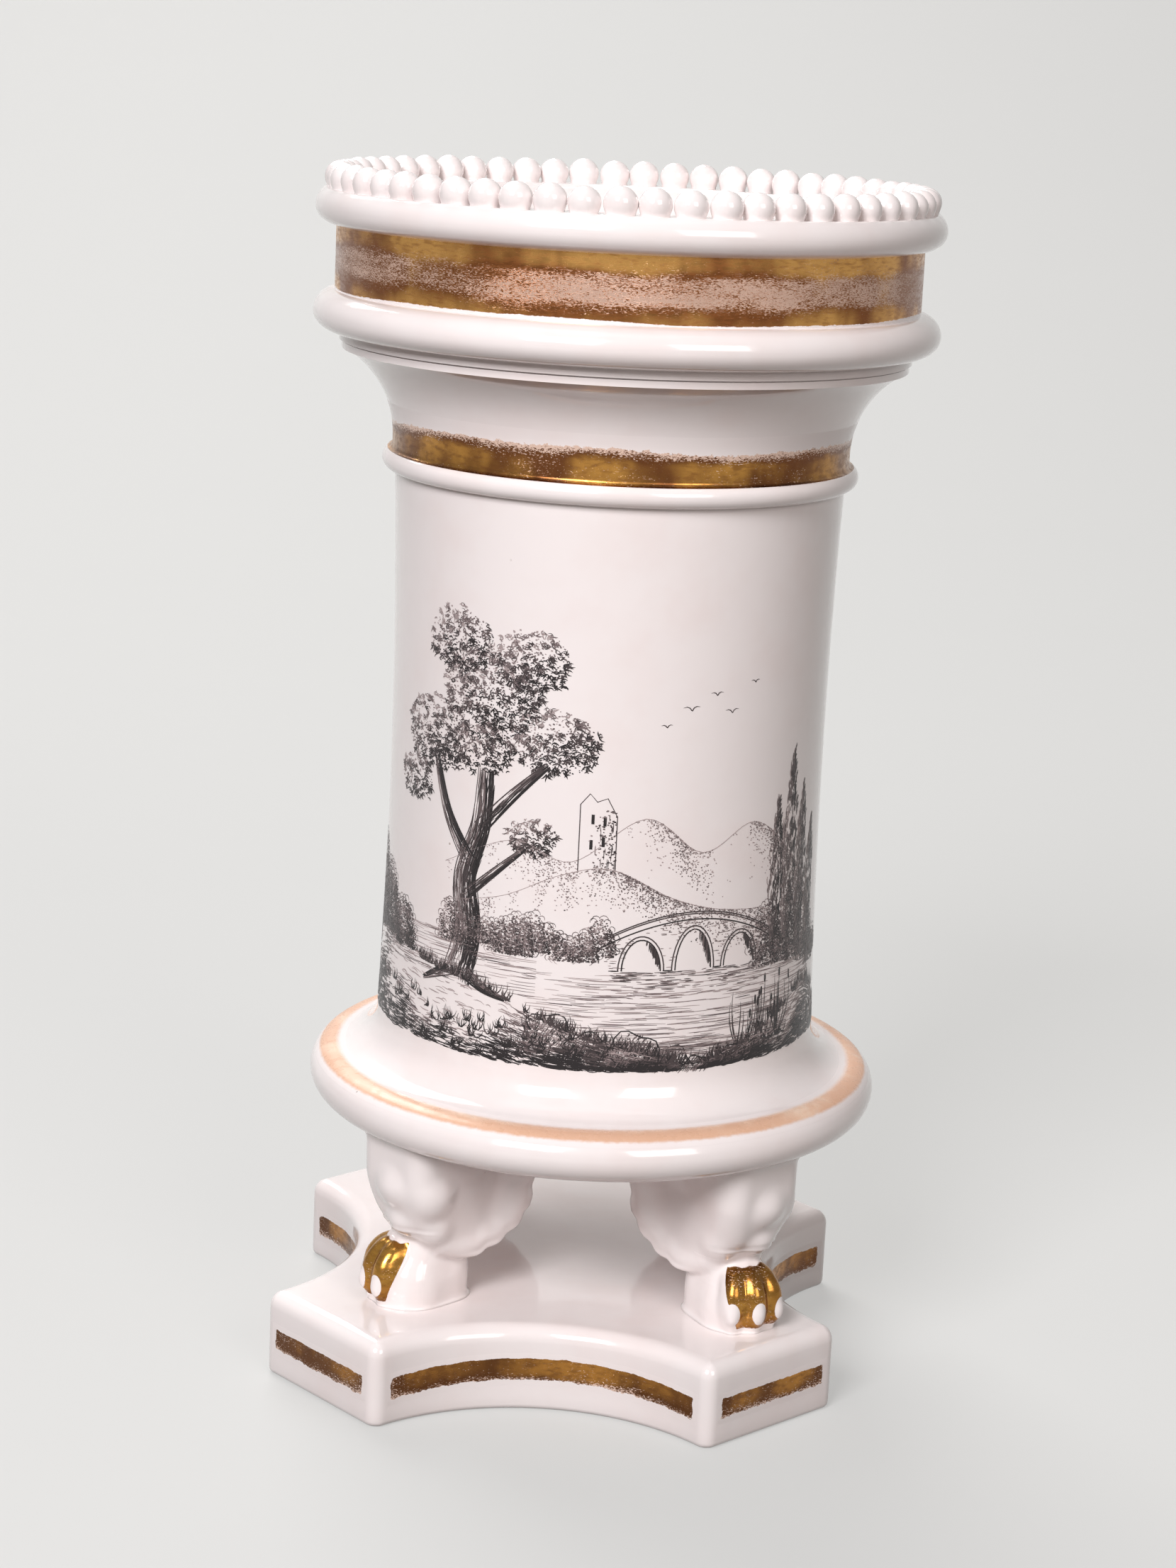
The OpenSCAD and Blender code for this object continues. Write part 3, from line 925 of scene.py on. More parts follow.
    def form(self, p: Grid) -> Grid:
        """The whole leg as one modelled form.

        Args:
            p: points with x out along the leg, y across and z above the plinth.

        Returns:
            Distances to its skin, negative inside.
        """
        s, y, z = p[..., 0], p[..., 1], p[..., 2]
        flat = self.wing_distance(s, z)
        share = np.clip((s - self.wing_in) / (self.knee - self.wing_in), 0, 1)
        half = self.wing_half + (self.knee_half - self.wing_half) * share * np.clip((z - 7) / 6, 0, 1)
        rim = self.wing_rim[0].at(flat) + self.wing_rim[1].at(flat)
        dish = np.exp(-(((s - 16.0) / 3.0) ** 2) - ((z - 11.5) / 4.2) ** 2)
        half = half + rim * np.clip((22 - s) / 3, 0, 1) - self.dish_depth * dish
        thick, soft = np.abs(y) - half, 0.55 + 1.85 * np.clip((s - 18.5) / 5.5, 0, 1)
        a, b = flat + soft, thick + soft
        whole = np.hypot(np.maximum(a, 0), np.maximum(b, 0)) + np.minimum(np.maximum(a, b), 0) - soft
        for tuft in self.tufts:
            whole = soft_union(whole, ellipsoid(p, *tuft), self.tuft_join)
        return soft_union(whole, self.paw(p), self.paw_join)

    def in_paw(self, p: Grid) -> Grid:
        """Turns points into the paw's own frame, which is turned about the heel.

        Args:
            p: points in the leg's own frame.

        Returns:
            The points in the paw's frame.
        """
        c, w = cos_sin(self.paw_turn)
        s, y = p[..., 0] - self.heel_c, p[..., 1]
        return np.stack([self.heel_c + s * c + y * w, y * c - s * w, p[..., 2]], -1)

    def paw(self, p: Grid) -> Grid:
        """The heel, the ball, the instep, the toes and the claws.

        Args:
            p: points in the leg's own frame.

        Returns:
            Distances to the paw's skin, negative inside.
        """
        q = self.in_paw(p)
        whole = ellipsoid(q, (self.heel_c, 0, self.heel_z), self.heel_radii)
        whole = soft_union(whole, ellipsoid(q, *self.ball), 1.4)
        whole = soft_union(whole, ellipsoid(q, *self.instep), 1.2)
        for turn in self.toe_turns:
            c, w = cos_sin(turn)
            out, side = q[..., 0] - self.paw_c, q[..., 1]
            toe = np.stack([out * c + side * w, side * c - out * w, q[..., 2]], -1)
            digit = soft_union(ellipsoid(toe, *self.toe), ellipsoid(toe, *self.knuckle), 0.6)
            whole = soft_union(whole, digit, 0.35)
            claw = ellipsoid(toe, (self.claw_out, 0, self.claw_z - 0.2), self.claw_radii)
            whole = soft_union(whole, claw, 0.2)
        return whole

    def sections(self) -> tuple[Grid, Grid, Grid, Grid]:
        """Finds the leg's skin on rays from its middle.

        Returns:
            The turns of the rays, the heights, the middles of the sections and the radii.
        """
        turn = np.linspace(-math.pi, math.pi, self.columns, endpoint=False)
        paw, ankle = np.linspace(0, 4.4, 26), np.linspace(4.5, 8.2, 44)
        z = np.concatenate([paw, ankle, np.linspace(8.4, self.height + 1.0, 48)])
        middle = 22.0 - 3.1 * np.clip((z - 4.2) / 4.4, 0, 1) ** 1.3
        reach = np.linspace(0.2, 13, 90)
        radius = np.zeros((len(z), len(turn)))
        for k, (height, mid) in enumerate(zip(z, middle)):
            ray = np.stack(np.broadcast_arrays(
                mid + reach[None, :] * np.cos(turn)[:, None], reach[None, :] * np.sin(turn)[:, None], height
            ), -1)
            d = self.form(ray)
            hit = d.shape[1] - 1 - np.argmax((d < 0)[:, ::-1], axis=1)
            hit = np.clip(hit, 0, len(reach) - 2)
            rows = np.arange(len(turn))
            d0, d1 = d[rows, hit], d[rows, hit + 1]
            radius[k] = reach[hit] + (reach[1] - reach[0]) * np.clip(d0 / (d0 - d1 + TINY), 0, 1)
        for _ in range(2):
            radius = (np.roll(radius, 1, 1) + 2 * radius + np.roll(radius, -1, 1)) / 4
            radius[1:-1] = (radius[:-2] + 2 * radius[1:-1] + radius[2:]) / 4
        foot, head = self.foot_fillet.at(z), self.head_fillet.at(np.maximum(self.height - z, 0))
        radius += foot[:, None] + head[:, None]
        return turn, z, middle, radius

    def gilt_marks(self, grid: Grid) -> tuple[Grid, Grid]:
        """Where the toes are gilded.

        Args:
            grid: the points in the leg's own frame.

        Returns:
            The marks inside and rub.
        """
        q = self.in_paw(grid)
        up = q[..., 2]
        degrees = np.degrees(np.arctan2(q[..., 1], q[..., 0] - self.paw_c))
        reach = self.gilt_turn + self.gilt_spread * (up - self.claw_z)
        inside = np.minimum((reach - np.abs(degrees - self.gilt_aim)) * 0.085, up - self.gilt_low)
        claw_wide, claw_tall = self.claw_bare
        for toe in self.toe_turns:
            away = np.hypot((degrees - toe) * 0.09 / claw_wide, (up - self.claw_z) / claw_tall)
            inside = np.minimum(inside, (away - 1) * 0.8)
        scallop = self.gilt_scallop * np.cos(np.radians((degrees - self.toe_lean) * 360 / self.toe_pitch))
        inside = np.minimum(inside, self.gilt_top + scallop - up)
        return inside, self.toe_rubbed + self.toe_foot.at(np.maximum(up - self.gilt_low, 0))

    def build(self, glaze: bpy.types.Material, gold: bpy.types.Material) -> None:
        """Makes the legs at its corners and the gilding on their toes.

        Args:
            glaze: the porcelain's finish.
            gold: the gilding's finish.
        """
        turn, z, middle, radius = self.sections()
        local = np.stack(np.broadcast_arrays(
            middle[:, None] + radius * np.cos(turn), radius * np.sin(turn), z[:, None]
        ), -1)
        rows, cols = local.shape[:2]
        faces: list[Sequence[int]] = list(grid_faces(rows, cols, True))
        faces += [tuple(range(cols))[::-1], tuple(range((rows - 1) * cols, rows * cols))]
        front = np.flatnonzero(np.abs(turn - math.radians(self.gilt_aim + self.paw_turn)) < math.radians(74))
        band = np.flatnonzero((z > 0.3) & (z < 7.4))
        patch = local[np.ix_(band, front)]
        marks = self.gilt_marks(patch)
        for corner in self.corners:
            c, w = cos_sin(corner.value)
            spin = np.array([[c, w, 0], [-w, c, 0], [0, 0, 1]])
            lift = np.array([0, 0, self.foot_z])
            name = corner.name.lower()
            leg = make_piece(f"leg_{name}_modelled", local @ spin + lift, faces, crease=None)
            fit_out(leg, glaze, [f"leg_{name}"])
            lay_gold(f"toes_gilded_{name}", patch @ spin + lift, marks, gold, "toe_gilding")


@dataclass
class FootDisc:
    """The round foot with a half-round edge, a cove up to the body and the well's floor."""

    low: float = 26.4
    edge: float = 2.5
    edge_c: float = 26.65
    body_r: float = 22.4
    floor: float = 4.0
    bore: float = 18.9
    well_corner: float = 2.5
    line_w: float = 1.75
    line_wide: float = 2.6
    line_margin: float = 9.0
    rubbed_low: float = 0.45
    rubbed_fall: float = 0.4
    rubbed_waver: float = 0.05

    @property
    def cove(self) -> float:
        """Radius of the cove."""
        return self.edge_c - self.body_r

    @property
    def top(self) -> float:
        """Height at which the body starts."""
        return self.low + 2 * self.edge + self.cove

    def build(self) -> bpy.types.Object:
        """Turns the disc.

        Returns:
            The piece.
        """
        o = Outline([(0, self.low)])
        o.line(9, self.low).line(18, self.low).line(self.edge_c - 0.5, self.low, 3)
        o.arc(self.edge_c, self.low + self.edge, self.edge, -90, 90, 22)
        o.arc(self.edge_c, self.top, self.cove, 270, 180, 16)
        o.line(self.bore, self.top)
        floor = self.low + self.floor
        o.arc(self.bore - self.well_corner, floor + self.well_corner, self.well_corner, 0, -90, 8)
        o.line(8, floor, 2).line(0, floor)
        return o.turn("foot_disc_turned", closed=False)

    def gild(self, finish: bpy.types.Material) -> None:
        """Draws the rubbed line round the disc's edge.

        Args:
            finish: the line's finish.
        """
        start = math.degrees(math.acos(self.line_w / self.edge))
        o = Outline()
        o.arc(self.edge_c, self.low + self.edge, self.edge, start - self.line_margin, 90, 12)
        o.arc(self.edge_c, self.top, self.cove, 269, 255, 6)
        r, z = np.array(o.points).T[:, :, None]
        turn, grid = ring_grid(r, z, 320)
        way = np.concatenate([[0], np.cumsum(np.hypot(np.diff(r[:, 0]), np.diff(z[:, 0])))])[:, None]
        way = way - math.radians(self.line_margin) * self.edge
        inside = np.minimum(way, 0.6 * (self.line_wide - way))
        rub = self.rubbed_low - self.rubbed_fall * way / self.line_wide
        rub = rub + self.rubbed_waver * np.sin(3 * turn)
        lay_gold("disc_line_rubbed", grid, (inside, rub), finish, "disc_gilding", wrap=True)


@dataclass
class Body:
    """The slightly waisted cylinder that carries the printed landscape."""

    low: float = 35.65
    height: float = 55.4
    foot_r: float = 22.4
    waist_r: float = 21.85
    bore: float = 18.9

    def radius(self, z: Grid) -> Grid:
        """The outer radius at height z above the table."""
        share = (np.asarray(z, float) - self.low) / self.height
        return self.waist_r + (self.foot_r - self.waist_r) * (2 * share - 1) ** 2

    def build(self) -> bpy.types.Object:
        """Turns the body as an open tube.

        Returns:
            The piece.
        """
        o = Outline([(self.bore, self.low)])
        for k in range(33):
            z = self.low + self.height * k / 32
            o.line(float(self.radius(z)), z)
        o.line(self.bore, self.low + self.height)
        o.line(self.bore, self.low + self.height / 2)
        return o.turn("vase_body_turned")


# Shares of a stroke's width at its start, middle and end.
EVEN = (1, 1, 1)
TAPERED = (0.4, 1.0, 0.4)


def left_of(line: Grid) -> Grid:
    """Steps of length 1 to the left of each point of a flat line."""
    run = np.gradient(line, axis=0)
    return np.column_stack([-run[:, 1], run[:, 0]]) / np.maximum(np.hypot(*run.T), TINY)[:, None]


def level(line: Grid, u: float) -> float:
    """Height of a line at u."""
    return float(np.interp(u, line[:, 0], line[:, 1]))


def bow(u: float, v: float, wide: Grid | float, tall: Grid | float, turns: Grid) -> Grid:
    """Points at those turns on an oval about u and v, given its half width and half height."""
    return np.column_stack([u + wide * np.cos(turns), v + tall * np.sin(turns)])


def shadow(turn: float) -> float:
    """Shade at a turn round a mass that is lit from the upper left."""
    return 0.55 * math.cos(turn) - 0.8 * math.sin(turn)


@dataclass
class Engraving:
    """Strokes of ink on the unrolled body, with u round it to the right and v up from its foot."""

    body: Body
    girth: float = 22.0
    lift: float = 0.02
    seed: int = 8

    def __post_init__(self) -> None:
        """Starts with an empty plate."""
        self.rng = random.Random(self.seed)
        self.strokes: dict[Ink, list[tuple[Grid, Grid]]] = {ink: [] for ink in Ink}

    def draw(self, line: Grid, width: float, ink: Ink, swell: Sequence[float] = TAPERED) -> None:
        """Draws one stroke.

        Args:
            line: the points that it passes.
            width: its greatest width.
            ink: strength of the ink.
            swell: share of the width at its start, middle and end.
        """
        p = np.asarray(line, float)
        if len(p) > 1:
            self.strokes[ink].append((p, width * np.interp(np.linspace(0, 2, len(p)), (0, 1, 2), swell)))

    def hand(self, a: Point2, b: Point2, bend: float = 0.0, steps: int = 3) -> Grid:
        """A freehand line.

        Args:
            a: where it starts.
            b: where it ends.
            bend: how far its middle is pushed to the left.
            steps: number of steps.

        Returns:
            Its points.
        """
        t = np.linspace(0, 1, steps + 1)[:, None]
        p, q = np.array(a, float), np.array(b, float)
        side = np.array([p[1] - q[1], q[0] - p[0]]) / max(math.dist(p, q), 1e-6)
        return p + (q - p) * t + side * bend * 4 * t * (1 - t)

    def stroke(
        self, a: Point2, b: Point2, bend: float, width: float, ink: Ink, swell: Sequence[float] = TAPERED
    ) -> None:
        """Draws a freehand line from a to b."""
        self.draw(self.hand(a, b, bend), width, ink, swell)

    def pick(self, dark: float) -> Ink:
        """Picks an ink.

        Args:
            dark: how dark it is to be, from about 0 to 1, with some scatter.

        Returns:
            The ink.
        """
        tone = dark + self.rng.gauss(0, 0.12)
        for ink, limit in ((Ink.BLACK, 0.68), (Ink.DARK, 0.42), (Ink.MID, 0.2)):
            if tone > limit:
                return ink
        return Ink.PALE

    def press(self) -> None:
        """Lays the strokes on the body, one piece for each strength of ink."""
        for ink, strokes in self.strokes.items():
            points: list[Grid] = []
            faces: list[Sequence[int]] = []
            base = 0
            for line, width in strokes:
                half = left_of(line) * width[:, None] / 2
                rise = np.full(2 * len(line), self.lift * (1 + self.rng.random()))
                points.append(np.column_stack([np.concatenate([line + half, line - half]), rise]))
                n = len(line)
                faces += [(base + k, base + n + k, base + n + k + 1, base + k + 1) for k in range(n - 1)]
                base += 2 * n
            u, v, rise = np.concatenate(points).T
            z = self.body.low + v
            flat = turned(self.body.radius(z) + rise, u / self.girth - math.pi / 2, z)
            piece = make_piece(f"print_{ink.name.lower()}", flat, faces, crease=None, outward=False)
            fit_out(piece, ink.material())


class Landscape(Engraving):
    """A lake with a bridge, a tower on its hill and a broad tree, as a plain engraver would cut it."""

    def clump(
        self, u: float, v: float, wide: float, tall: float, clusters: int, leaf: float, dark: float
    ) -> None:
        """A rounded mass of leaves, lit from the upper left.

        Args:
            u: its middle.
            v: its middle.
            wide: its half width.
            tall: its half height.
            clusters: number of leaf clusters.
            leaf: length of a leaf.
            dark: how dark it is on the whole.
        """
        r = self.rng
        for _ in range(int(wide * tall * 34)):
            a, d = r.uniform(0, 2 * math.pi), math.sqrt(r.random())
            x, y = u + wide * d * math.cos(a), v + tall * d * math.sin(a)
            shade = dark + 0.5 * d * shadow(a)
            if r.random() < 0.35 + shade:
                self.dot(x, y, r.uniform(0.1, 0.2), self.pick(shade - 0.15))
        for _ in range(clusters):
            a, d = r.uniform(0, 2 * math.pi), math.sqrt(r.random())
            x, y = u + wide * d * math.cos(a), v + tall * d * math.sin(a)
            ink = self.pick(dark + 0.42 * d * shadow(a))
            head = a + r.gauss(0, 0.9)
            for k in range(r.randint(3, 5)):
                turn, n = head + (k - 2) * r.uniform(0.4, 0.9), leaf * r.uniform(0.5, 1.1)
                tip = (x + n * math.cos(turn), y + 0.8 * n * math.sin(turn) - 0.15 * n)
                self.stroke((x, y), tip, r.uniform(-0.2, 0.25) * n, 0.22 * leaf, ink, (0.3, 1, 0.1))
            n, turns = 0.45 * leaf, np.linspace(head - 1.3, head + 1.3, 6)
            self.draw(bow(x, y, n, n, turns), 0.1 * leaf, self.pick(dark))
        for _ in range(clusters // 2):
            x, y = u + wide * r.uniform(-0.55, 0.85), v - tall * r.uniform(0.0, 0.9)
            n = leaf * r.uniform(0.5, 1.0)
            end = (x + n, y + r.uniform(-0.3, 0.3))
            self.stroke((x, y), end, 0.25 * n, 0.2 * leaf, self.pick(dark + 0.3))

    def trunk(self, path: Sequence[Point2], base: float, tip: float) -> None:
        """A trunk or branch with its bark, darker to the right.

        Args:
            path: its middle line from the root up.
            base: width at the root.
            tip: width at the end.
        """
        r = self.rng
        line = smooth_curve(path, 9)
        half = -left_of(line) * np.linspace(base, tip, len(line))[:, None] / 2
        self.draw(line - half, 0.11, Ink.DARK, (1, 1, 0.6))
        self.draw(line + half, 0.2, Ink.BLACK, (1, 1, 0.6))
        for _ in range(int(len(line) * base * 4.6)):
            k = r.randrange(max(len(line) - 4, 1))
            m = min(k + r.randint(3, 8), len(line))
            across = r.uniform(-1, 1)
            if r.random() < 0.3 + 0.4 * (across + 1):
                drift = across + np.linspace(0, r.uniform(-0.25, 0.25), m - k)
                ink = self.pick(0.6 + 0.36 * across)
                self.draw(line[k:m] + half[k:m] * drift[:, None], r.uniform(0.07, 0.15), ink)

    def tuft(self, u: float, v: float, tall: float, blades: int, dark: float) -> None:
        """A tuft of grass.

        Args:
            u: its root.
            v: its root.
            tall: length of a blade.
            blades: number of blades.
            dark: how dark it is.
        """
        r = self.rng
        for _ in range(blades):
            lean, n = r.gauss(0, 0.42), tall * r.uniform(0.5, 1.1)
            tip = (u + n * math.sin(lean), v + n * math.cos(lean))
            root = (u + r.uniform(-0.35, 0.35) * tall, v)
            bend = -0.18 * n * math.copysign(1, lean)
            self.stroke(root, tip, bend, 0.13, self.pick(dark), (1, 0.8, 0.1))

    def bank(self, ridge: Sequence[Point2], foot: float, strokes: int, lit: Point2, tufts: int) -> None:
        """A bank of earth and grass, dark at its foot and pale where the light falls.

        Args:
            ridge: its upper edge from left to right.
            foot: height of its lower edge.
            strokes: number of strokes.
            lit: middle and half width of the pale part.
            tufts: number of tufts along its edges.
        """
        r = self.rng
        line = smooth_curve(ridge, 10)
        for _ in range(strokes):
            u = r.uniform(line[0, 0], line[-1, 0])
            top = level(line, u)
            slope = (level(line, u + 0.5) - top) / 0.5
            depth = r.random()
            pale = math.exp(-(((u - lit[0]) / lit[1]) ** 2)) * math.exp(-(((depth - 0.35) / 0.4) ** 2))
            dark = 0.25 + 0.55 * depth + 0.4 * depth**3 + 0.2 * math.sin(u * 0.9 + depth * 4) - 0.95 * pale
            if r.random() < max(dark, 0.07):
                n, v = r.uniform(0.5, 1.7), top + (foot - top) * depth
                tilt = slope * (1 - 0.7 * depth) * n / 2
                ends = (u - n / 2, v - tilt), (u + n / 2, v + tilt)
                self.stroke(*ends, r.uniform(-0.12, 0.2), r.uniform(0.07, 0.16), self.pick(dark))
        for _ in range(tufts):
            u = r.uniform(line[0, 0], line[-1, 0])
            top = level(line, u)
            near = r.random() < 0.55
            v = top - 0.1 if near else top + (foot - top) * r.uniform(0.45, 0.98)
            self.tuft(u, v, r.uniform(0.8, 1.7), r.randint(5, 9), 0.6 if near else 0.85)

    def water(self, left: float, right: float, low: float, high: float, lines: int, dark: float) -> None:
        """Still water in broken level lines.

        Args:
            left: its left end.
            right: its right end.
            low: its lower edge.
            high: its upper edge.
            lines: number of strokes.
            dark: how dark it is at its lower edge.
        """
        r = self.rng
        for _ in range(lines):
            t = r.random()
            u, v, n = r.uniform(left, right), low + (high - low) * t, r.uniform(1.2, 5.0)
            ends = (max(u - n / 2, left), v), (min(u + n / 2, right), v + r.uniform(-0.06, 0.06))
            self.stroke(*ends, r.uniform(-0.08, 0.08), r.uniform(0.05, 0.09), self.pick(dark * (1.3 - t)))

    def dot(self, u: float, v: float, size: float, ink: Ink) -> None:
        """One prick of the graver.

        Args:
            u: its middle.
            v: its middle.
            size: its length.
            ink: strength of the ink.
        """
        lean = self.rng.uniform(-0.5, 0.5) * size
        ends = np.array([(u - size / 2, v - lean / 2), (u + size / 2, v + lean / 2)])
        self.draw(ends, 0.75 * size, ink, EVEN)

    def hill(self, ridge: Sequence[Point2], drop: float, dots: int, dark: float) -> None:
        """A distant hill in stipple, shaded where it falls to the right.

        Args:
            ridge: its upper edge from left to right.
            drop: depth of the shading below the ridge.
            dots: number of dots.
            dark: how dark they are.
        """
        r = self.rng
        line = smooth_curve(ridge, 8)
        self.draw(line, 0.06, Ink.PALE, (0.5, 1, 0.5))
        for _ in range(dots):
            u = r.uniform(line[0, 0], line[-1, 0])
            top = level(line, u)
            slope = (level(line, u + 0.4) - top) / 0.4
            fall = r.random() ** 1.4
            shade = 0.42 - 0.75 * slope + 0.16 * math.sin(u * 2.3 + fall * 5)
            if r.random() < shade * (1.1 - fall):
                x, y = u + 0.35 * drop * fall, top - drop * fall
                self.dot(x, y, r.uniform(0.09, 0.15), self.pick(dark + 0.25 * (shade - 0.4)))

    def bush(self, u: float, v: float, wide: float, tall: float, dark: float) -> None:
        """A rounded bush with a scalloped edge, in stipple that darkens to the lower right.

        Args:
            u: its middle.
            v: its foot.
            wide: its half width.
            tall: its height.
            dark: how dark it is on the whole.
        """
        r = self.rng
        lobes = max(int(4 * (wide + tall) / 2), 5)
        for row, depth in enumerate((1.0, 0.68, 0.4)):
            for k in range(lobes):
                a = math.pi * (k + r.uniform(0.2, 0.8)) / lobes
                x, y = u + wide * depth * math.cos(a), v + tall * depth * math.sin(a)
                n = r.uniform(0.28, 0.5)
                lobe = bow(x, y, n, n, np.linspace(a - 1.5, a + 1.5, 6))
                self.draw(lobe, 0.08, self.pick(dark + 0.18 * math.cos(a) - 0.12 * row))
        for _ in range(int(wide * tall * 110)):
            x, y = r.uniform(-1, 1), r.random()
            shade = 0.3 + 0.38 * x + 0.55 * (1 - y) + 0.22 * math.sin(7 * x + 5 * y + u)
            if x * x + y * y < 1 and r.random() < shade + 0.3:
                tone = dark * 0.55 + 0.45 * shade - 0.06
                self.dot(u + wide * x, v + tall * y, r.uniform(0.1, 0.19), self.pick(tone))

    def bridge(self, left: float, right: float, water: float, deck: float, arches: int) -> None:
        """A humped stone bridge with its reflection.

        Args:
            left: its left end.
            right: its right end.
            water: height of the water line.
            deck: height of the deck's middle.
            arches: number of arches.
        """
        r = self.rng
        span = (right - left) / arches

        def crown(u: float) -> float:
            """Height of the deck at u."""
            t = (u - left) / (right - left)
            return deck - 2.0 * (2 * t - 1) ** 2

        top = [(u, crown(u)) for u in np.linspace(left - 1.5, right + 1.5, 30)]
        for rise, ink in ((0.0, Ink.BLACK), (0.55, Ink.DARK), (0.75, Ink.DARK)):
            self.draw(np.array(top) + (0, rise), 0.12, ink, EVEN)
        for k in range(arches):
            c, wide = left + span * (k + 0.5), 0.36 * span
            tall = crown(c) - water - 1.0
            turn = np.linspace(0, math.pi, 18)
            for grow, ink in ((0.0, Ink.BLACK), (0.35, Ink.DARK)):
                self.draw(bow(c, water, wide + grow, tall + grow, turn), 0.13, ink, EVEN)
            for _ in range(40):
                u = c + wide * r.uniform(0.2, 0.97)
                roof = water + tall * math.sqrt(max(1 - ((u - c) / wide) ** 2, 0))
                deep = r.uniform(0.5, 1.0) * (roof - water) * (u - c) / wide
                self.stroke((u, roof - deep), (u + 0.05, roof), 0, 0.09, self.pick(0.6))
            for side in (-1, 1):
                u = c + side * span / 2
                self.stroke((u - 0.5, water), (u + 0.5, water), 0, 0.16, Ink.BLACK)
        for _ in range(260):
            u = r.uniform(left - 1, right + 1)
            v = r.uniform(water + 0.2, crown(u))
            c = left + span * (math.floor((u - left) / span) + 0.5)
            tall = crown(c) - water - 0.6
            off = (u - c) / (0.4 * span)
            if abs(off) < 1 and v - water < tall * math.sqrt(1 - off**2):
                continue
            self.stroke((u, v), (u + r.uniform(0.25, 0.7), v), 0, 0.08, self.pick(0.32))
        for _ in range(150):
            u, v = r.uniform(left - 1, right + 1), water - 2.6 * r.random() ** 1.4 - 0.1
            end = (u + r.uniform(0.4, 1.8), v + r.uniform(-0.08, 0.08))
            self.stroke((u, v), end, 0, 0.1, self.pick(0.5 - 0.12 * (water - v)))

    def tower(self, u: float, v: float, wide: float, tall: float) -> None:
        """A broken tower with slit windows.

        Args:
            u: its middle.
            v: its foot.
            wide: its half width.
            tall: its height.
        """
        r = self.rng
        crest = ((-1, 0), (-1, 0.86), (-0.5, 1), (-0.1, 0.9), (0.45, 0.95), (1, 0.72), (1, 0))
        self.draw(np.array([(u + x * wide, v + tall * y) for x, y in crest]), 0.09, Ink.DARK, EVEN)
        for _ in range(420):
            x, y = r.uniform(-1, 1), r.random()
            if r.random() < 0.28 + 0.5 * x:
                self.dot(u + wide * x, v + tall * 0.8 * y, r.uniform(0.12, 0.2), self.pick(0.3 + 0.25 * x))
        for _ in range(60):
            x = r.uniform(-1, 1)
            y = v + tall * 0.78 * r.random()
            if r.random() < 0.3 + 0.5 * x:
                end = (u + wide * x, y + r.uniform(0.4, 1.3))
                self.stroke((u + wide * x, y), end, 0, 0.09, self.pick(0.35 + 0.25 * x))
        for x, y in ((-0.35, 0.3), (0.3, 0.34), (-0.3, 0.62), (0.35, 0.6)):
            slit = u + wide * x
            self.stroke((slit, v + tall * y), (slit, v + tall * (y + 0.12)), 0, 0.3, Ink.BLACK, EVEN)

    def poplar(self, u: float, v: float, wide: float, tall: float) -> None:
        """A slim tree of upright strokes.

        Args:
            u: its middle.
            v: its foot.
            wide: its half width.
            tall: its height.
        """
        r = self.rng
        for _ in range(int(tall * wide * 17)):
            t = r.random()
            x = r.uniform(-1, 1)
            edge = wide * math.sin(math.pi * min(0.1 + 0.9 * t, 1)) ** 0.8
            n = r.uniform(0.5, 1.2)
            start = (u + x * edge, v + tall * t)
            end = (start[0] + r.uniform(-0.2, 0.3), start[1] + n)
            self.stroke(start, end, 0.1, 0.15, self.pick(0.5 + 0.3 * x))
        self.stroke((u, v - 0.8), (u, v + 0.15 * tall), 0, 0.3, Ink.BLACK)

    def stone(self, u: float, v: float, wide: float, tall: float) -> None:
        """A boulder, hatched on its right.

        Args:
            u: its middle.
            v: its foot.
            wide: its half width.
            tall: its height.
        """
        r = self.rng
        turn = np.linspace(math.pi, 0, 14)
        lump = 1 + 0.1 * np.sin(turn * 5 + u)
        self.draw(bow(u, v, wide * lump, tall * lump, turn), 0.13, Ink.BLACK, (0.6, 1, 1))
        for _ in range(int(wide * tall * 60)):
            x, y = r.uniform(-0.9, 0.95), r.random()
            if y < math.sqrt(1 - x * x) and r.random() < 0.25 + 0.45 * (x + 1 - y):
                n = r.uniform(0.3, 0.9)
                start = (u + wide * x, v + tall * y)
                end = (start[0] - 0.45 * n, start[1] - 0.7 * n)
                self.stroke(start, end, 0.06, 0.1, self.pick(0.5 + 0.3 * x))

    def reeds(self, left: float, right: float, v: float, tall: float, count: int) -> None:
        """Reeds with seed heads.

        Args:
            left: left end of the bed.
            right: its right end.
            v: height of the roots.
            tall: length of a reed.
            count: number of reeds.
        """
        r = self.rng
        for _ in range(count):
            u, lean, n = r.uniform(left, right), r.gauss(0.05, 0.2), tall * r.uniform(0.5, 1.1)
            tip = np.array((u + n * math.sin(lean), v + n * math.cos(lean)))
            blade = self.hand((u, v), tuple(tip), -0.12 * n * lean * 4, 5)
            self.draw(blade, 0.14, self.pick(0.75), (1, 0.8, 0.2))
            if r.random() < 0.35:
                self.stroke(tuple(tip - (0, 0.9)), tuple(tip), 0, 0.3, Ink.BLACK, (0.6, 1, 0.5))

    def birds(self, flock: Iterable[tuple[float, float, float]]) -> None:
        """Birds in the distance.

        Args:
            flock: u, v and the spread of a wing for each bird.
        """
        for u, v, n in flock:
            self.stroke((u - n, v + 0.35 * n), (u, v), 0.25 * n, 0.1, Ink.DARK, (0.2, 1, 0.9))
            self.stroke((u, v), (u + 0.9 * n, v + 0.45 * n), 0.25 * n, 0.1, Ink.DARK, (0.9, 1, 0.2))

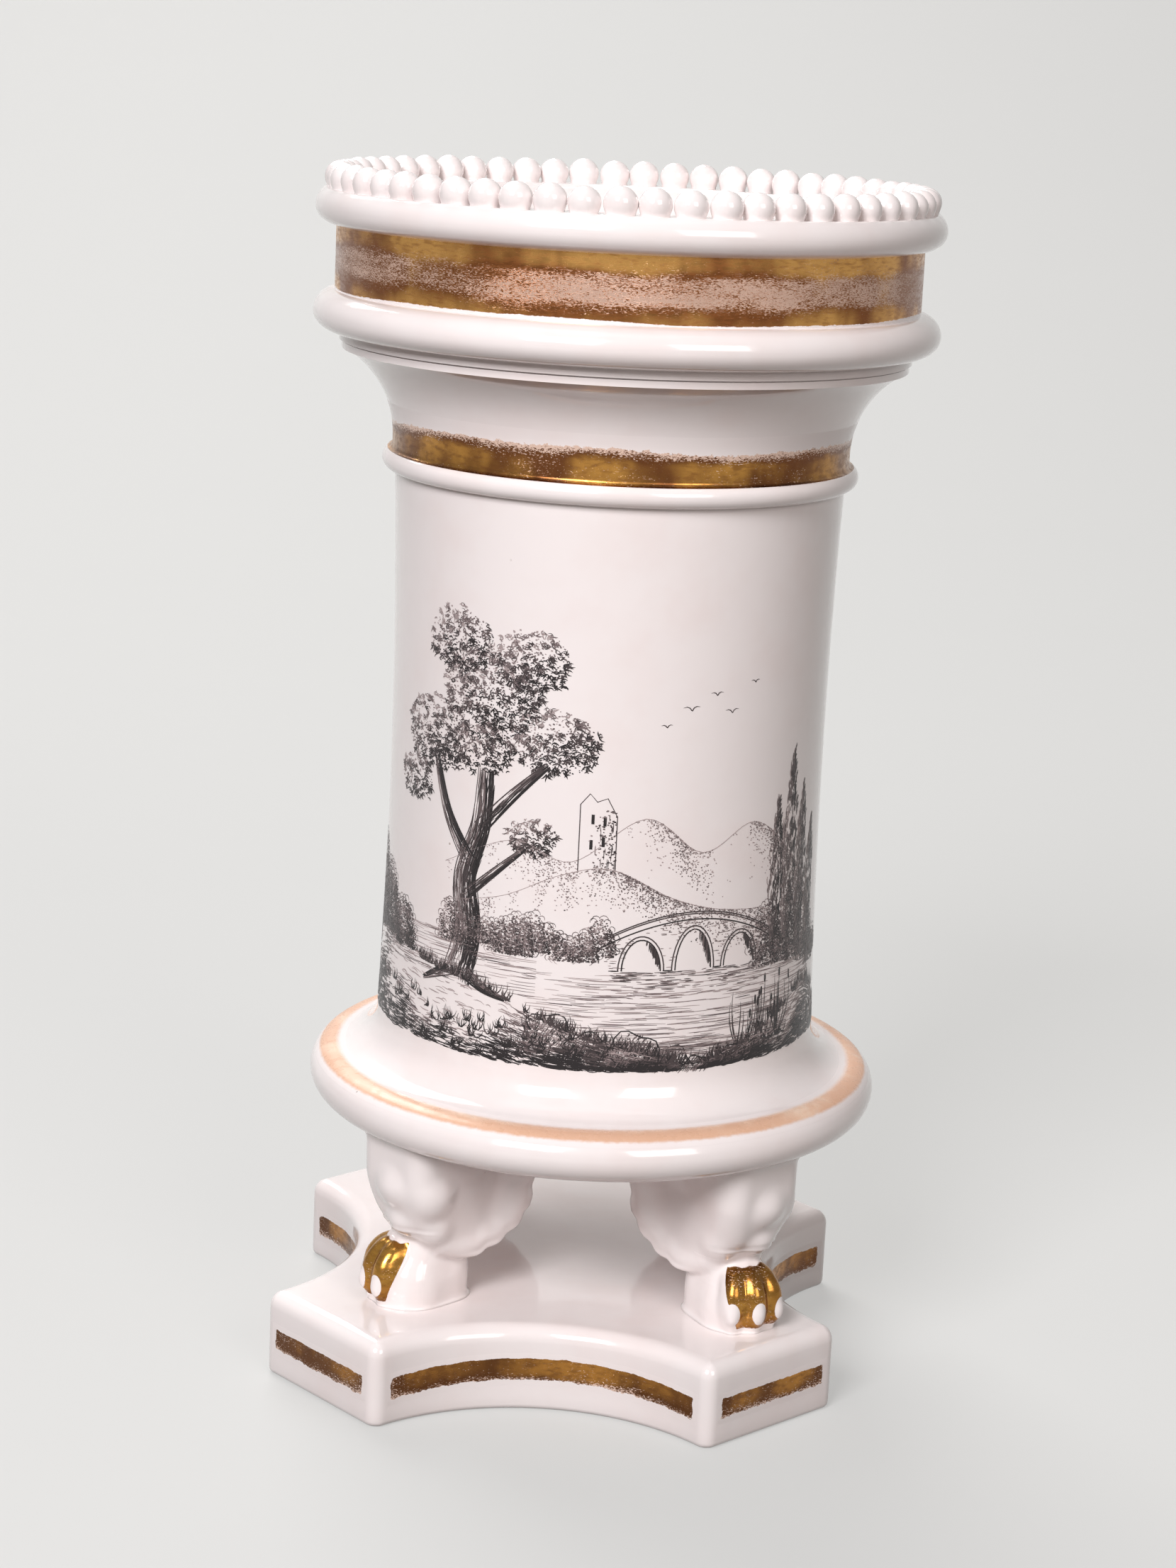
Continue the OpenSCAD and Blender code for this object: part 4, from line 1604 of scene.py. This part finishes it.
    def distance(self) -> None:
        """The far shore: hills, the tower, small woods and the bridge."""
        far = [(-16, 19), (-8, 22.5), (-2, 21), (5, 25.5), (11, 22), (17, 24.5), (23, 20.5), (28, 15)]
        near = [(-16, 15.2), (-9, 16.8), (-3, 19.6), (2, 20.4), (8, 17.6), (13, 16.2), (19, 15.6)]
        self.hill(far, 5.5, 6500, 0.1)
        self.hill(near, 4.2, 7000, 0.22)
        self.tower(0.4, 20.0, 1.8, 7.8)
        for u in np.arange(-15, 2.5, 1.6):
            self.bush(u, 11.4 + 0.4 * math.sin(u), 1.7, 3.2 + 0.9 * math.sin(u * 0.7), 0.4)
        for u, tall in ((19.5, 5.0), (23.5, 6.6), (27.5, 4.8), (30.4, 2.8)):
            self.bush(u, 11.0 - 0.02 * max(u - 19, 0) ** 2, 2.5, tall, 0.45)
        self.bridge(2.5, 18.5, 10.4, 15.4, 3)
        for place in (
            (20.6, 11.8, 1.2, 14), (22.9, 11.4, 1.4, 19), (25.4, 11.0, 1.3, 15.5), (28, 10.6, 1.2, 12),
        ):
            self.poplar(*place)
        for u in (19.5, 22, 24.5, 27, 29.5):
            self.bush(u, 9.5 - 0.03 * max(u - 22, 0) ** 2, 1.9, 2.5, 0.6)

    def foreground(self) -> None:
        """The near shore: water, banks, stones, reeds and the broad tree."""
        self.water(-6, 29, 2.2, 10.2, 430, 0.3)
        self.water(0, 24, 0.4, 3.4, 260, 0.5)
        self.water(-26, -5, 7.2, 12.4, 190, 0.24)
        shrubs = ((-31, 9, 3.4, 9.5), (-27.6, 9.2, 3.8, 7.2), (-23, 8.8, 3.0, 4.8), (-34.4, 6.4, 2.6, 6.0))
        for u, v, wide, tall in shrubs:
            self.bush(u, v, wide, tall, 0.55)
            self.clump(u, v + 0.4 * tall, 0.8 * wide, 0.4 * tall, 34, 0.7, 0.6)
        tree = 5.5
        for path, base, tip in (
            ([(-19.5, 7.6), (-18.3, 12.5), (-18.9, 18), (-17.2, 23.5), (-16.8, 29)], 3.6, 1.7),
            ([(-18.4, 19.5), (-21.5, 24), (-23.4, 29.5)], 1.6, 0.6),
            ([(-17.4, 23), (-13.6, 27), (-10.2, 30.2)], 1.5, 0.5),
            ([(-18.8, 16), (-15.2, 19.2), (-12.2, 21.8)], 1.0, 0.35),
            ([(-20, 8.4), (-22.3, 7.4), (-24, 6.6)], 1.2, 0.3),
            ([(-18.2, 8.4), (-16, 7.2), (-13.6, 6.5)], 1.3, 0.3),
        ):
            self.trunk([(u + tree, v) for u, v in path], base, tip)
        for u, v, wide, tall, count in (
            (-23.8, 31.5, 4.8, 3.6, 120), (-16.8, 36.5, 5.6, 4.6, 170), (-9.8, 32.4, 4.6, 3.2, 105),
            (-20.6, 41.2, 4.2, 3.2, 90), (-12.4, 40.2, 4.0, 3.0, 80), (-27, 26.6, 3.0, 2.2, 52),
            (-11.6, 23, 2.6, 1.8, 46), (-17.4, 31, 3.6, 2.4, 60),
        ):
            self.clump(u + tree, v, wide, tall, count, 0.75, 0.5)
        left = [
            (-40, 0.8), (-37, 4.2), (-32, 8.4), (-25, 9.6), (-18, 8.4),
            (-10, 7.2), (-3, 4.6), (3, 2.8), (9, 1.2),
        ]
        right = [(12, 0.8), (17, 2.4), (22, 4.4), (26.5, 6.2), (30, 5.4), (33, 2.6), (35, 0.6)]
        self.bank(left, 0.3, 5600, (-15, 7.5), 210)
        self.bank(right, 0.3, 2500, (22, 2.0), 100)
        for place in (
            (-3.6, 3.0, 2.6, 2.8), (0.4, 1.9, 2.3, 2.2), (4.6, 0.9, 2.9, 3.4),
            (8.4, 0.6, 2.3, 2.2), (11.2, 0.4, 1.5, 1.2), (15.6, 1.0, 1.5, 1.3),
        ):
            self.stone(*place)
        for u in (-5.4, -1.6, 2.2, 6.8, 10.4):
            self.tuft(u, 2.9 - 0.2 * u, 1.9, 9, 0.8)
        self.reeds(15.5, 22, 2.0, 6.4, 36)
        self.birds(((9, 36, 0.9), (11.6, 37.4, 0.7), (13.4, 35.6, 0.8), (6.6, 34.4, 0.6), (16, 38.4, 0.55)))

    def build(self) -> None:
        """Cuts the picture and prints it on the body."""
        self.distance()
        self.foreground()
        self.press()


@dataclass
class Neck:
    """The astragal ring and the flare up to the collar."""

    low: float = 91.05
    astragal: float = 1.1
    astragal_r: float = 23.7
    fillet: float = 0.9
    foot_r: float = 22.7
    top_r: float = 27.7
    flare: float = 8.7
    bore: float = 18.9
    mouth: float = 25.0
    band: float = 3.3
    band_waver: Point2 = (0.18, 0.12)
    band_foot: float = 0.5
    rubbed: float = 0.1
    # Rub near the band's top, which also paints the gold darker there as painted shade; the brighter lower
    # part is a painted highlight.
    top_rub_and_shade: float = 0.75
    top_rub_and_shade_reach: float = 1.3
    joint: float = 0.5
    seat: float = 0.6

    @property
    def joint_low(self) -> float:
        """Height at which the astragal runs into the small cove above it."""
        c = self.astragal_r - self.astragal
        return self.low + self.astragal + math.sqrt(self.astragal**2 - (self.foot_r + self.joint - c) ** 2)

    @property
    def flare_low(self) -> float:
        """Height at which the flare starts."""
        return self.low + 2 * self.astragal + self.fillet

    def sweep(self, run: float) -> tuple[float, float]:
        """Radius and turn, in degrees, of an arc that leaves upright and moves out by run over the flare."""
        r = (run**2 + self.flare**2) / (2 * run)
        return r, math.degrees(math.asin(self.flare / r))

    def build(self) -> bpy.types.Object:
        """Turns the neck.

        Returns:
            The piece.
        """
        o = Outline([(self.bore, self.low), (self.foot_r - self.seat, self.low)])
        c = self.astragal_r - self.astragal
        end = math.degrees(math.acos((self.foot_r + self.joint - c) / self.astragal))
        o.arc(c, self.low + self.astragal, self.astragal, -90, end, 18)
        o.arc(self.foot_r + self.joint, self.joint_low + self.joint, self.joint, 270, 180, 6)
        o.line(self.foot_r, self.flare_low - 0.1)
        r, a = self.sweep(self.top_r - self.foot_r)
        o.arc(self.foot_r + r, self.flare_low, r, 180, 180 - a, 20)
        o.line(self.mouth, self.flare_low + self.flare)
        r, a = self.sweep(self.mouth - self.bore)
        o.arc(self.bore + r, self.flare_low, r, 180 - a, 180, 14)
        return o.turn("neck_turned")

    def gild(self, finish: bpy.types.Material) -> None:
        """Lays the narrow band above the astragal, rubbed along its top and painted darker there as painted
        shade, so that its lower part stands as a painted highlight.

        Args:
            finish: the gilding.
        """
        low = self.joint_low
        o = Outline()
        o.arc(self.foot_r + self.joint, low + self.joint, self.joint, 270, 180, 7)
        r0, _ = self.sweep(self.top_r - self.foot_r)
        for height in np.linspace(low + self.joint + 0.1, low + self.band + 1.5, 20):
            up = max(height - self.flare_low, 0)
            o.line(self.foot_r + r0 - math.sqrt(r0**2 - up**2), height)
        r, z = np.array(o.points).T[:, :, None]
        turn, grid = ring_grid(r, z, 360)
        slow, quick = self.band_waver
        top = low + self.band + slow * np.sin(3 * turn + 1) + quick * np.sin(7 * turn)
        inside = np.minimum(z - low + self.band_foot, top - z)
        # Painted shade: the gold darkens towards the band's top, leaving a painted highlight below.
        rub = self.rubbed + self.top_rub_and_shade * np.clip(1 - (top - z) / self.top_rub_and_shade_reach, 0, 1) ** 1.5
        lay_gold("neck_band_gilded", grid, (inside, rub), finish, "neck_gilding", wrap=True)


@dataclass
class RimCollar:
    """Two round mouldings with a plain frieze between them and a level land for the beads."""

    low: float = 102.85
    fillets: tuple[Point2, ...] = ((28.0, 103.5), (27.75, 103.65), (28.25, 104.5))
    lower: float = 2.3
    lower_nose: float = 106.35
    lower_under: float = 1.85
    lower_over: float = 2.15
    upper: float = 2.05
    upper_nose: float = 116.5
    upper_under: float = 1.75
    moulding_r: float = 30.9
    frieze_r: float = 28.8
    mouth: float = 25.0
    mouth_edge: float = 0.5
    land: float = 118.18
    bare: float = 0.2
    bare_waver: Point2 = (0.1, 0.05)
    rubbed: float = 0.02
    streak: Hump = Hump(0.58, 3.2, 1.5, 4)
    low_streak: Hump = Hump(0.2, 1.5, 0.8)

    @property
    def frieze_low(self) -> float:
        """Height of the frieze's foot."""
        return self.lower_nose + self.lower_over

    @property
    def frieze_top(self) -> float:
        """Height of the frieze's upper end."""
        return self.upper_nose - self.upper_under

    def build(self) -> bpy.types.Object:
        """Turns the collar.

        Returns:
            The piece.
        """
        o = Outline([(self.mouth, self.low)])
        z = self.low
        for r, top in self.fillets:
            o.line(r, z).line(r, top)
            z = top
        c = self.moulding_r - self.lower
        end = math.degrees(math.acos((self.frieze_r - c) / self.lower))
        o.arc(c, self.lower_nose, self.lower, -90, 0, 13, self.lower_under)
        o.arc(c, self.lower_nose, self.lower, 0, end, 13, self.lower_over)
        o.line(self.frieze_r, self.frieze_top, 4)
        c = self.moulding_r - self.upper
        start = -math.degrees(math.acos((self.frieze_r - c) / self.upper))
        end = math.degrees(math.asin((self.land - self.upper_nose) / self.upper))
        o.arc(c, self.upper_nose, self.upper, start, 0, 11, self.upper_under)
        o.arc(c, self.upper_nose, self.upper, 0, end, 11)
        o.line(self.mouth + self.mouth_edge, self.land, 3)
        o.arc(self.mouth + self.mouth_edge, self.land - self.mouth_edge, self.mouth_edge, 90, 180, 5)
        return o.turn("rim_collar_turned")

    def gild(self, finish: bpy.types.Material) -> None:
        """Lays the wide band on the frieze, with a hazy rubbed streak round it.

        Args:
            finish: the gilding.
        """
        z = np.linspace(self.frieze_low + 0.1, self.frieze_top - 0.02, 26)[:, None]
        turn, grid = ring_grid(self.frieze_r + 0 * z, z, 360)
        up = z - self.frieze_low
        slow, quick = self.bare_waver
        inside = up - self.bare + slow * np.sin(4 * turn) + quick * np.sin(9 * turn + 1)
        worn = self.streak.at(up) + self.low_streak.at(up)
        rub = worn * (0.88 + 0.24 * np.sin(2 * turn + 2.2) * np.sin(5 * turn)) + self.rubbed
        lay_gold("collar_band_gilded", grid, (inside, rub), finish, "collar_gilding", wrap=True)


@dataclass
class BeadRing:
    """The ring of hand-rolled beads on the rim."""

    count: int = 56
    radius: float = 1.575
    circle: float = 28.5
    sunk: float = 0.58
    land: float = 118.18
    fillet: Fade = Fade(0.14, 0.12)
    seed: int = 11

    def build(self) -> bpy.types.Object:
        """Makes the beads, each a little uneven and set in a fillet of glaze.

        Returns:
            The piece.
        """
        rng = random.Random(self.seed)
        across, around = 15, 26
        points: list[Grid] = []
        faces: list[Sequence[int]] = []
        for k in range(self.count):
            size = self.radius * rng.uniform(0.965, 1.005)
            turn = 2 * math.pi * (k + rng.uniform(-0.03, 0.03)) / self.count
            seat = self.circle + rng.uniform(-0.12, 0.08)
            tall = rng.uniform(0.95, 1.0)
            start = -math.asin(min((self.radius - self.sunk) / size, 0.99))
            lat = np.linspace(start, math.radians(84), across)[:, None]
            lon = np.linspace(0, 2 * math.pi, around, endpoint=False)[None, :]
            h = size * (np.sin(lat) - math.sin(start)) * tall
            r = size * np.cos(lat) + self.fillet.at(h)
            lump = 1 + 0.012 * np.sin(2 * lon + rng.uniform(0, 6)) * np.cos(lat)
            cx, cy = seat * math.cos(turn), seat * math.sin(turn)
            x, y = cx + r * lump * np.cos(lon), cy + r * lump * np.sin(lon)
            ring = np.stack(np.broadcast_arrays(x, y, self.land + h), -1)
            base = sum(len(p) for p in points)
            points.append(ring.reshape(-1, 3))
            faces += [tuple(base + i for i in f) for f in grid_faces(across, around, True)]
            crown = base + (across - 1) * around
            faces += [tuple(range(base, base + around))[::-1], tuple(range(crown, crown + around))]
        return make_piece("rim_beads_rolled", np.concatenate(points), faces, crease=75)


@dataclass(frozen=True)
class Lamp:
    """A square lamp, with its place and side in metres and its power in watts."""

    name: str
    where: tuple[float, float, float]
    side: float
    power: float
    colour: tuple[float, float, float]

    def hang(self, aim: Sequence[float]) -> None:
        """Hangs the lamp.

        Args:
            aim: the place that it faces.
        """
        data = bpy.data.lights.new(self.name, "AREA")
        data.size = self.side
        data.energy = self.power
        data.color = self.colour
        lamp = bpy.data.objects.new(self.name, data)
        bpy.context.scene.collection.objects.link(lamp)
        lamp.location = self.where
        lamp.rotation_euler = (Vector(aim) - Vector(self.where)).to_track_quat("-Z", "Y").to_euler()


@dataclass
class Studio:
    """A pale floor that runs up into a backdrop, soft lamps and the camera."""

    # The camera as fitted to the photograph, with angles in radians and focal and frame_high in pixels.
    away: float = 318.33
    high: float = 134.68
    yaw: float = -0.00542
    pitch: float = 0.23274
    roll: float = 0.04646
    focal: float = 4523.8
    turn: float = -0.03794
    frame_high: float = 2212.0
    pale: Colour = (0.27, 0.27, 0.265, 1)
    bounce: Colour = (0.1, 0.08, 0.07, 1)
    air_tone: Colour = (0.042, 0.033, 0.029, 1)
    glow: float = 0.78
    background: Colour = (0.53, 0.53, 0.522, 1)
    sensor: float = 36.0
    paper_grain: float = 0.985
    floor_front: float = -1.5
    floor_half: float = 2.2
    bend_at: float = 0.35
    bend_r: float = 0.45
    backdrop_top: float = 1.8
    aim: tuple[float, float, float] = (0, 0, 0.06)
    lamps: tuple[Lamp, ...] = (
        Lamp("key", (-0.27, -0.66, 0.54), 0.34, 6.7, (1, 0.985, 1)),
        Lamp("fill", (0.45, -0.68, 0.46), 0.4, 2.3, (1, 0.95, 0.92)),
        Lamp("top", (-0.03, -0.06, 0.85), 0.5, 0.3, (1, 0.985, 0.985)),
        Lamp("back", (-0.24, 0.54, 0.68), 0.5, 5.6, (1, 0.985, 0.975)),
    )

    def seen(self, tree: bpy.types.NodeTree) -> Socket:
        """A share that is 1 where a surface is seen directly, in a mirror or through glass.

        Args:
            tree: the nodes that it is added to.

        Returns:
            The share.
        """
        path = tree.nodes.new("ShaderNodeLightPath")
        share = path.outputs["Is Camera Ray"]
        for kind in ("Is Glossy Ray", "Is Transmission Ray"):
            either = tree.nodes.new("ShaderNodeMath")
            either.operation = "MAXIMUM"
            tree.links.new(share, either.inputs[0])
            tree.links.new(path.outputs[kind], either.inputs[1])
            share = either.outputs[0]
        return share

    def floor(self) -> None:
        """Lays the floor and its sweep up into the backdrop."""
        bend = arc_points((self.bend_at, self.bend_r), self.bend_r, -math.pi / 2, 0, 12)
        line = [(self.floor_front, 0.0), *bend, (self.bend_at + self.bend_r, self.backdrop_top)]
        grid = np.array([[(x, y, z) for x in (-self.floor_half, self.floor_half)] for y, z in line]) / MM
        faces = grid_faces(len(line), 2, False)
        sweep = make_piece("studio_sweep", grid, faces, crease=None, outward=False)
        surface = Surface("studio_paper")
        grain = surface.noise(surface.place(), 0.05, 2)
        tone = tuple(v * self.paper_grain for v in self.pale[:3]) + (1,)
        paper = surface.mix(grain, self.pale, tone)
        seen = self.seen(surface.tree)
        surface.set("Base Color", surface.mix(seen, self.bounce, paper))
        surface.set("Emission Color", self.background)
        surface.set("Emission Strength", surface.math("MULTIPLY", seen, self.glow))
        surface.set("Roughness", 0.85)
        sweep.data.materials.append(surface.material)

    def camera(self) -> None:
        """Sets the camera where the photograph was taken from."""
        y, p = self.yaw, self.pitch
        ahead = Vector((math.sin(y) * math.cos(p), math.cos(y) * math.cos(p), -math.sin(p)))
        right = Vector((math.cos(y), -math.sin(y), 0))
        up = right.cross(ahead)
        c, s = math.cos(self.roll), math.sin(self.roll)
        across, over = right * c + up * s, up * c - right * s
        stand = Vector((0, -self.away, self.high)) * MM
        basis = Matrix((across, over, -ahead)).transposed().to_4x4()
        world = Matrix.Rotation(-self.turn, 4, "Z") @ Matrix.Translation(stand) @ basis
        data = bpy.data.cameras.new("camera")
        data.sensor_fit = "VERTICAL"
        data.sensor_height = self.sensor
        data.clip_start = 0.01
        data.lens = self.focal * self.sensor / self.frame_high
        cam = bpy.data.objects.new("camera", data)
        bpy.context.scene.collection.objects.link(cam)
        cam.matrix_world = world
        bpy.context.scene.camera = cam

    def air(self) -> None:
        """Fills the room with faint light, and shows the background where it is seen."""
        world = bpy.data.worlds.new("studio_air")
        bpy.context.scene.world = world
        world.use_nodes = True
        tree = world.node_tree
        tint = tree.nodes.new("ShaderNodeMix")
        tint.data_type = "RGBA"
        tree.links.new(self.seen(tree), tint.inputs["Factor"])
        tint.inputs["A"].default_value = self.air_tone
        tint.inputs["B"].default_value = self.background
        tree.links.new(tint.outputs["Result"], tree.nodes["Background"].inputs["Color"])

    def build(self) -> None:
        """Sets up the air, the floor, the lamps and the camera."""
        bpy.context.scene.view_settings.view_transform = "Standard"
        self.air()
        self.floor()
        for lamp in self.lamps:
            lamp.hang(self.aim)
        self.camera()


def main() -> None:
    """Builds and dresses every piece, then sets the studio."""
    logging.basicConfig(level=logging.INFO, format="%(name)s: %(message)s")
    glaze = Glaze().material("porcelain_glaze")
    strips = STRIP_GOLD.material("gold_of_the_strips")
    toes = TOE_GOLD.material("gold_of_the_toes")
    wide = WIDE_GOLD.material("gold_of_the_wide_band")
    narrow = NARROW_GOLD.material("gold_of_the_narrow_band")
    plinth = Plinth()
    fit_out(plinth.build(), glaze, ["plinth"])
    plinth.gild(strips)
    PawLegs(corners=(Corner.BACK_RIGHT, Corner.BACK_LEFT, Corner.FRONT_RIGHT)).build(glaze, toes)
    PawLegs(corners=(Corner.FRONT_LEFT,), paw_turn=-12.0).build(glaze, toes)
    disc = FootDisc()
    fit_out(disc.build(), glaze, ["foot_disc"])
    disc.gild(PEACH_LINE.material("peach_line"))
    body = Body()
    fit_out(body.build(), glaze, ["vase_body"])
    Landscape(body).build()
    neck = Neck()
    fit_out(neck.build(), glaze, ["neck"])
    neck.gild(narrow)
    collar = RimCollar()
    fit_out(collar.build(), glaze, ["rim_collar"])
    collar.gild(wide)
    fit_out(BeadRing().build(), glaze, ["rim_beads"])
    Studio().build()


if __name__ == "__main__":
    main()
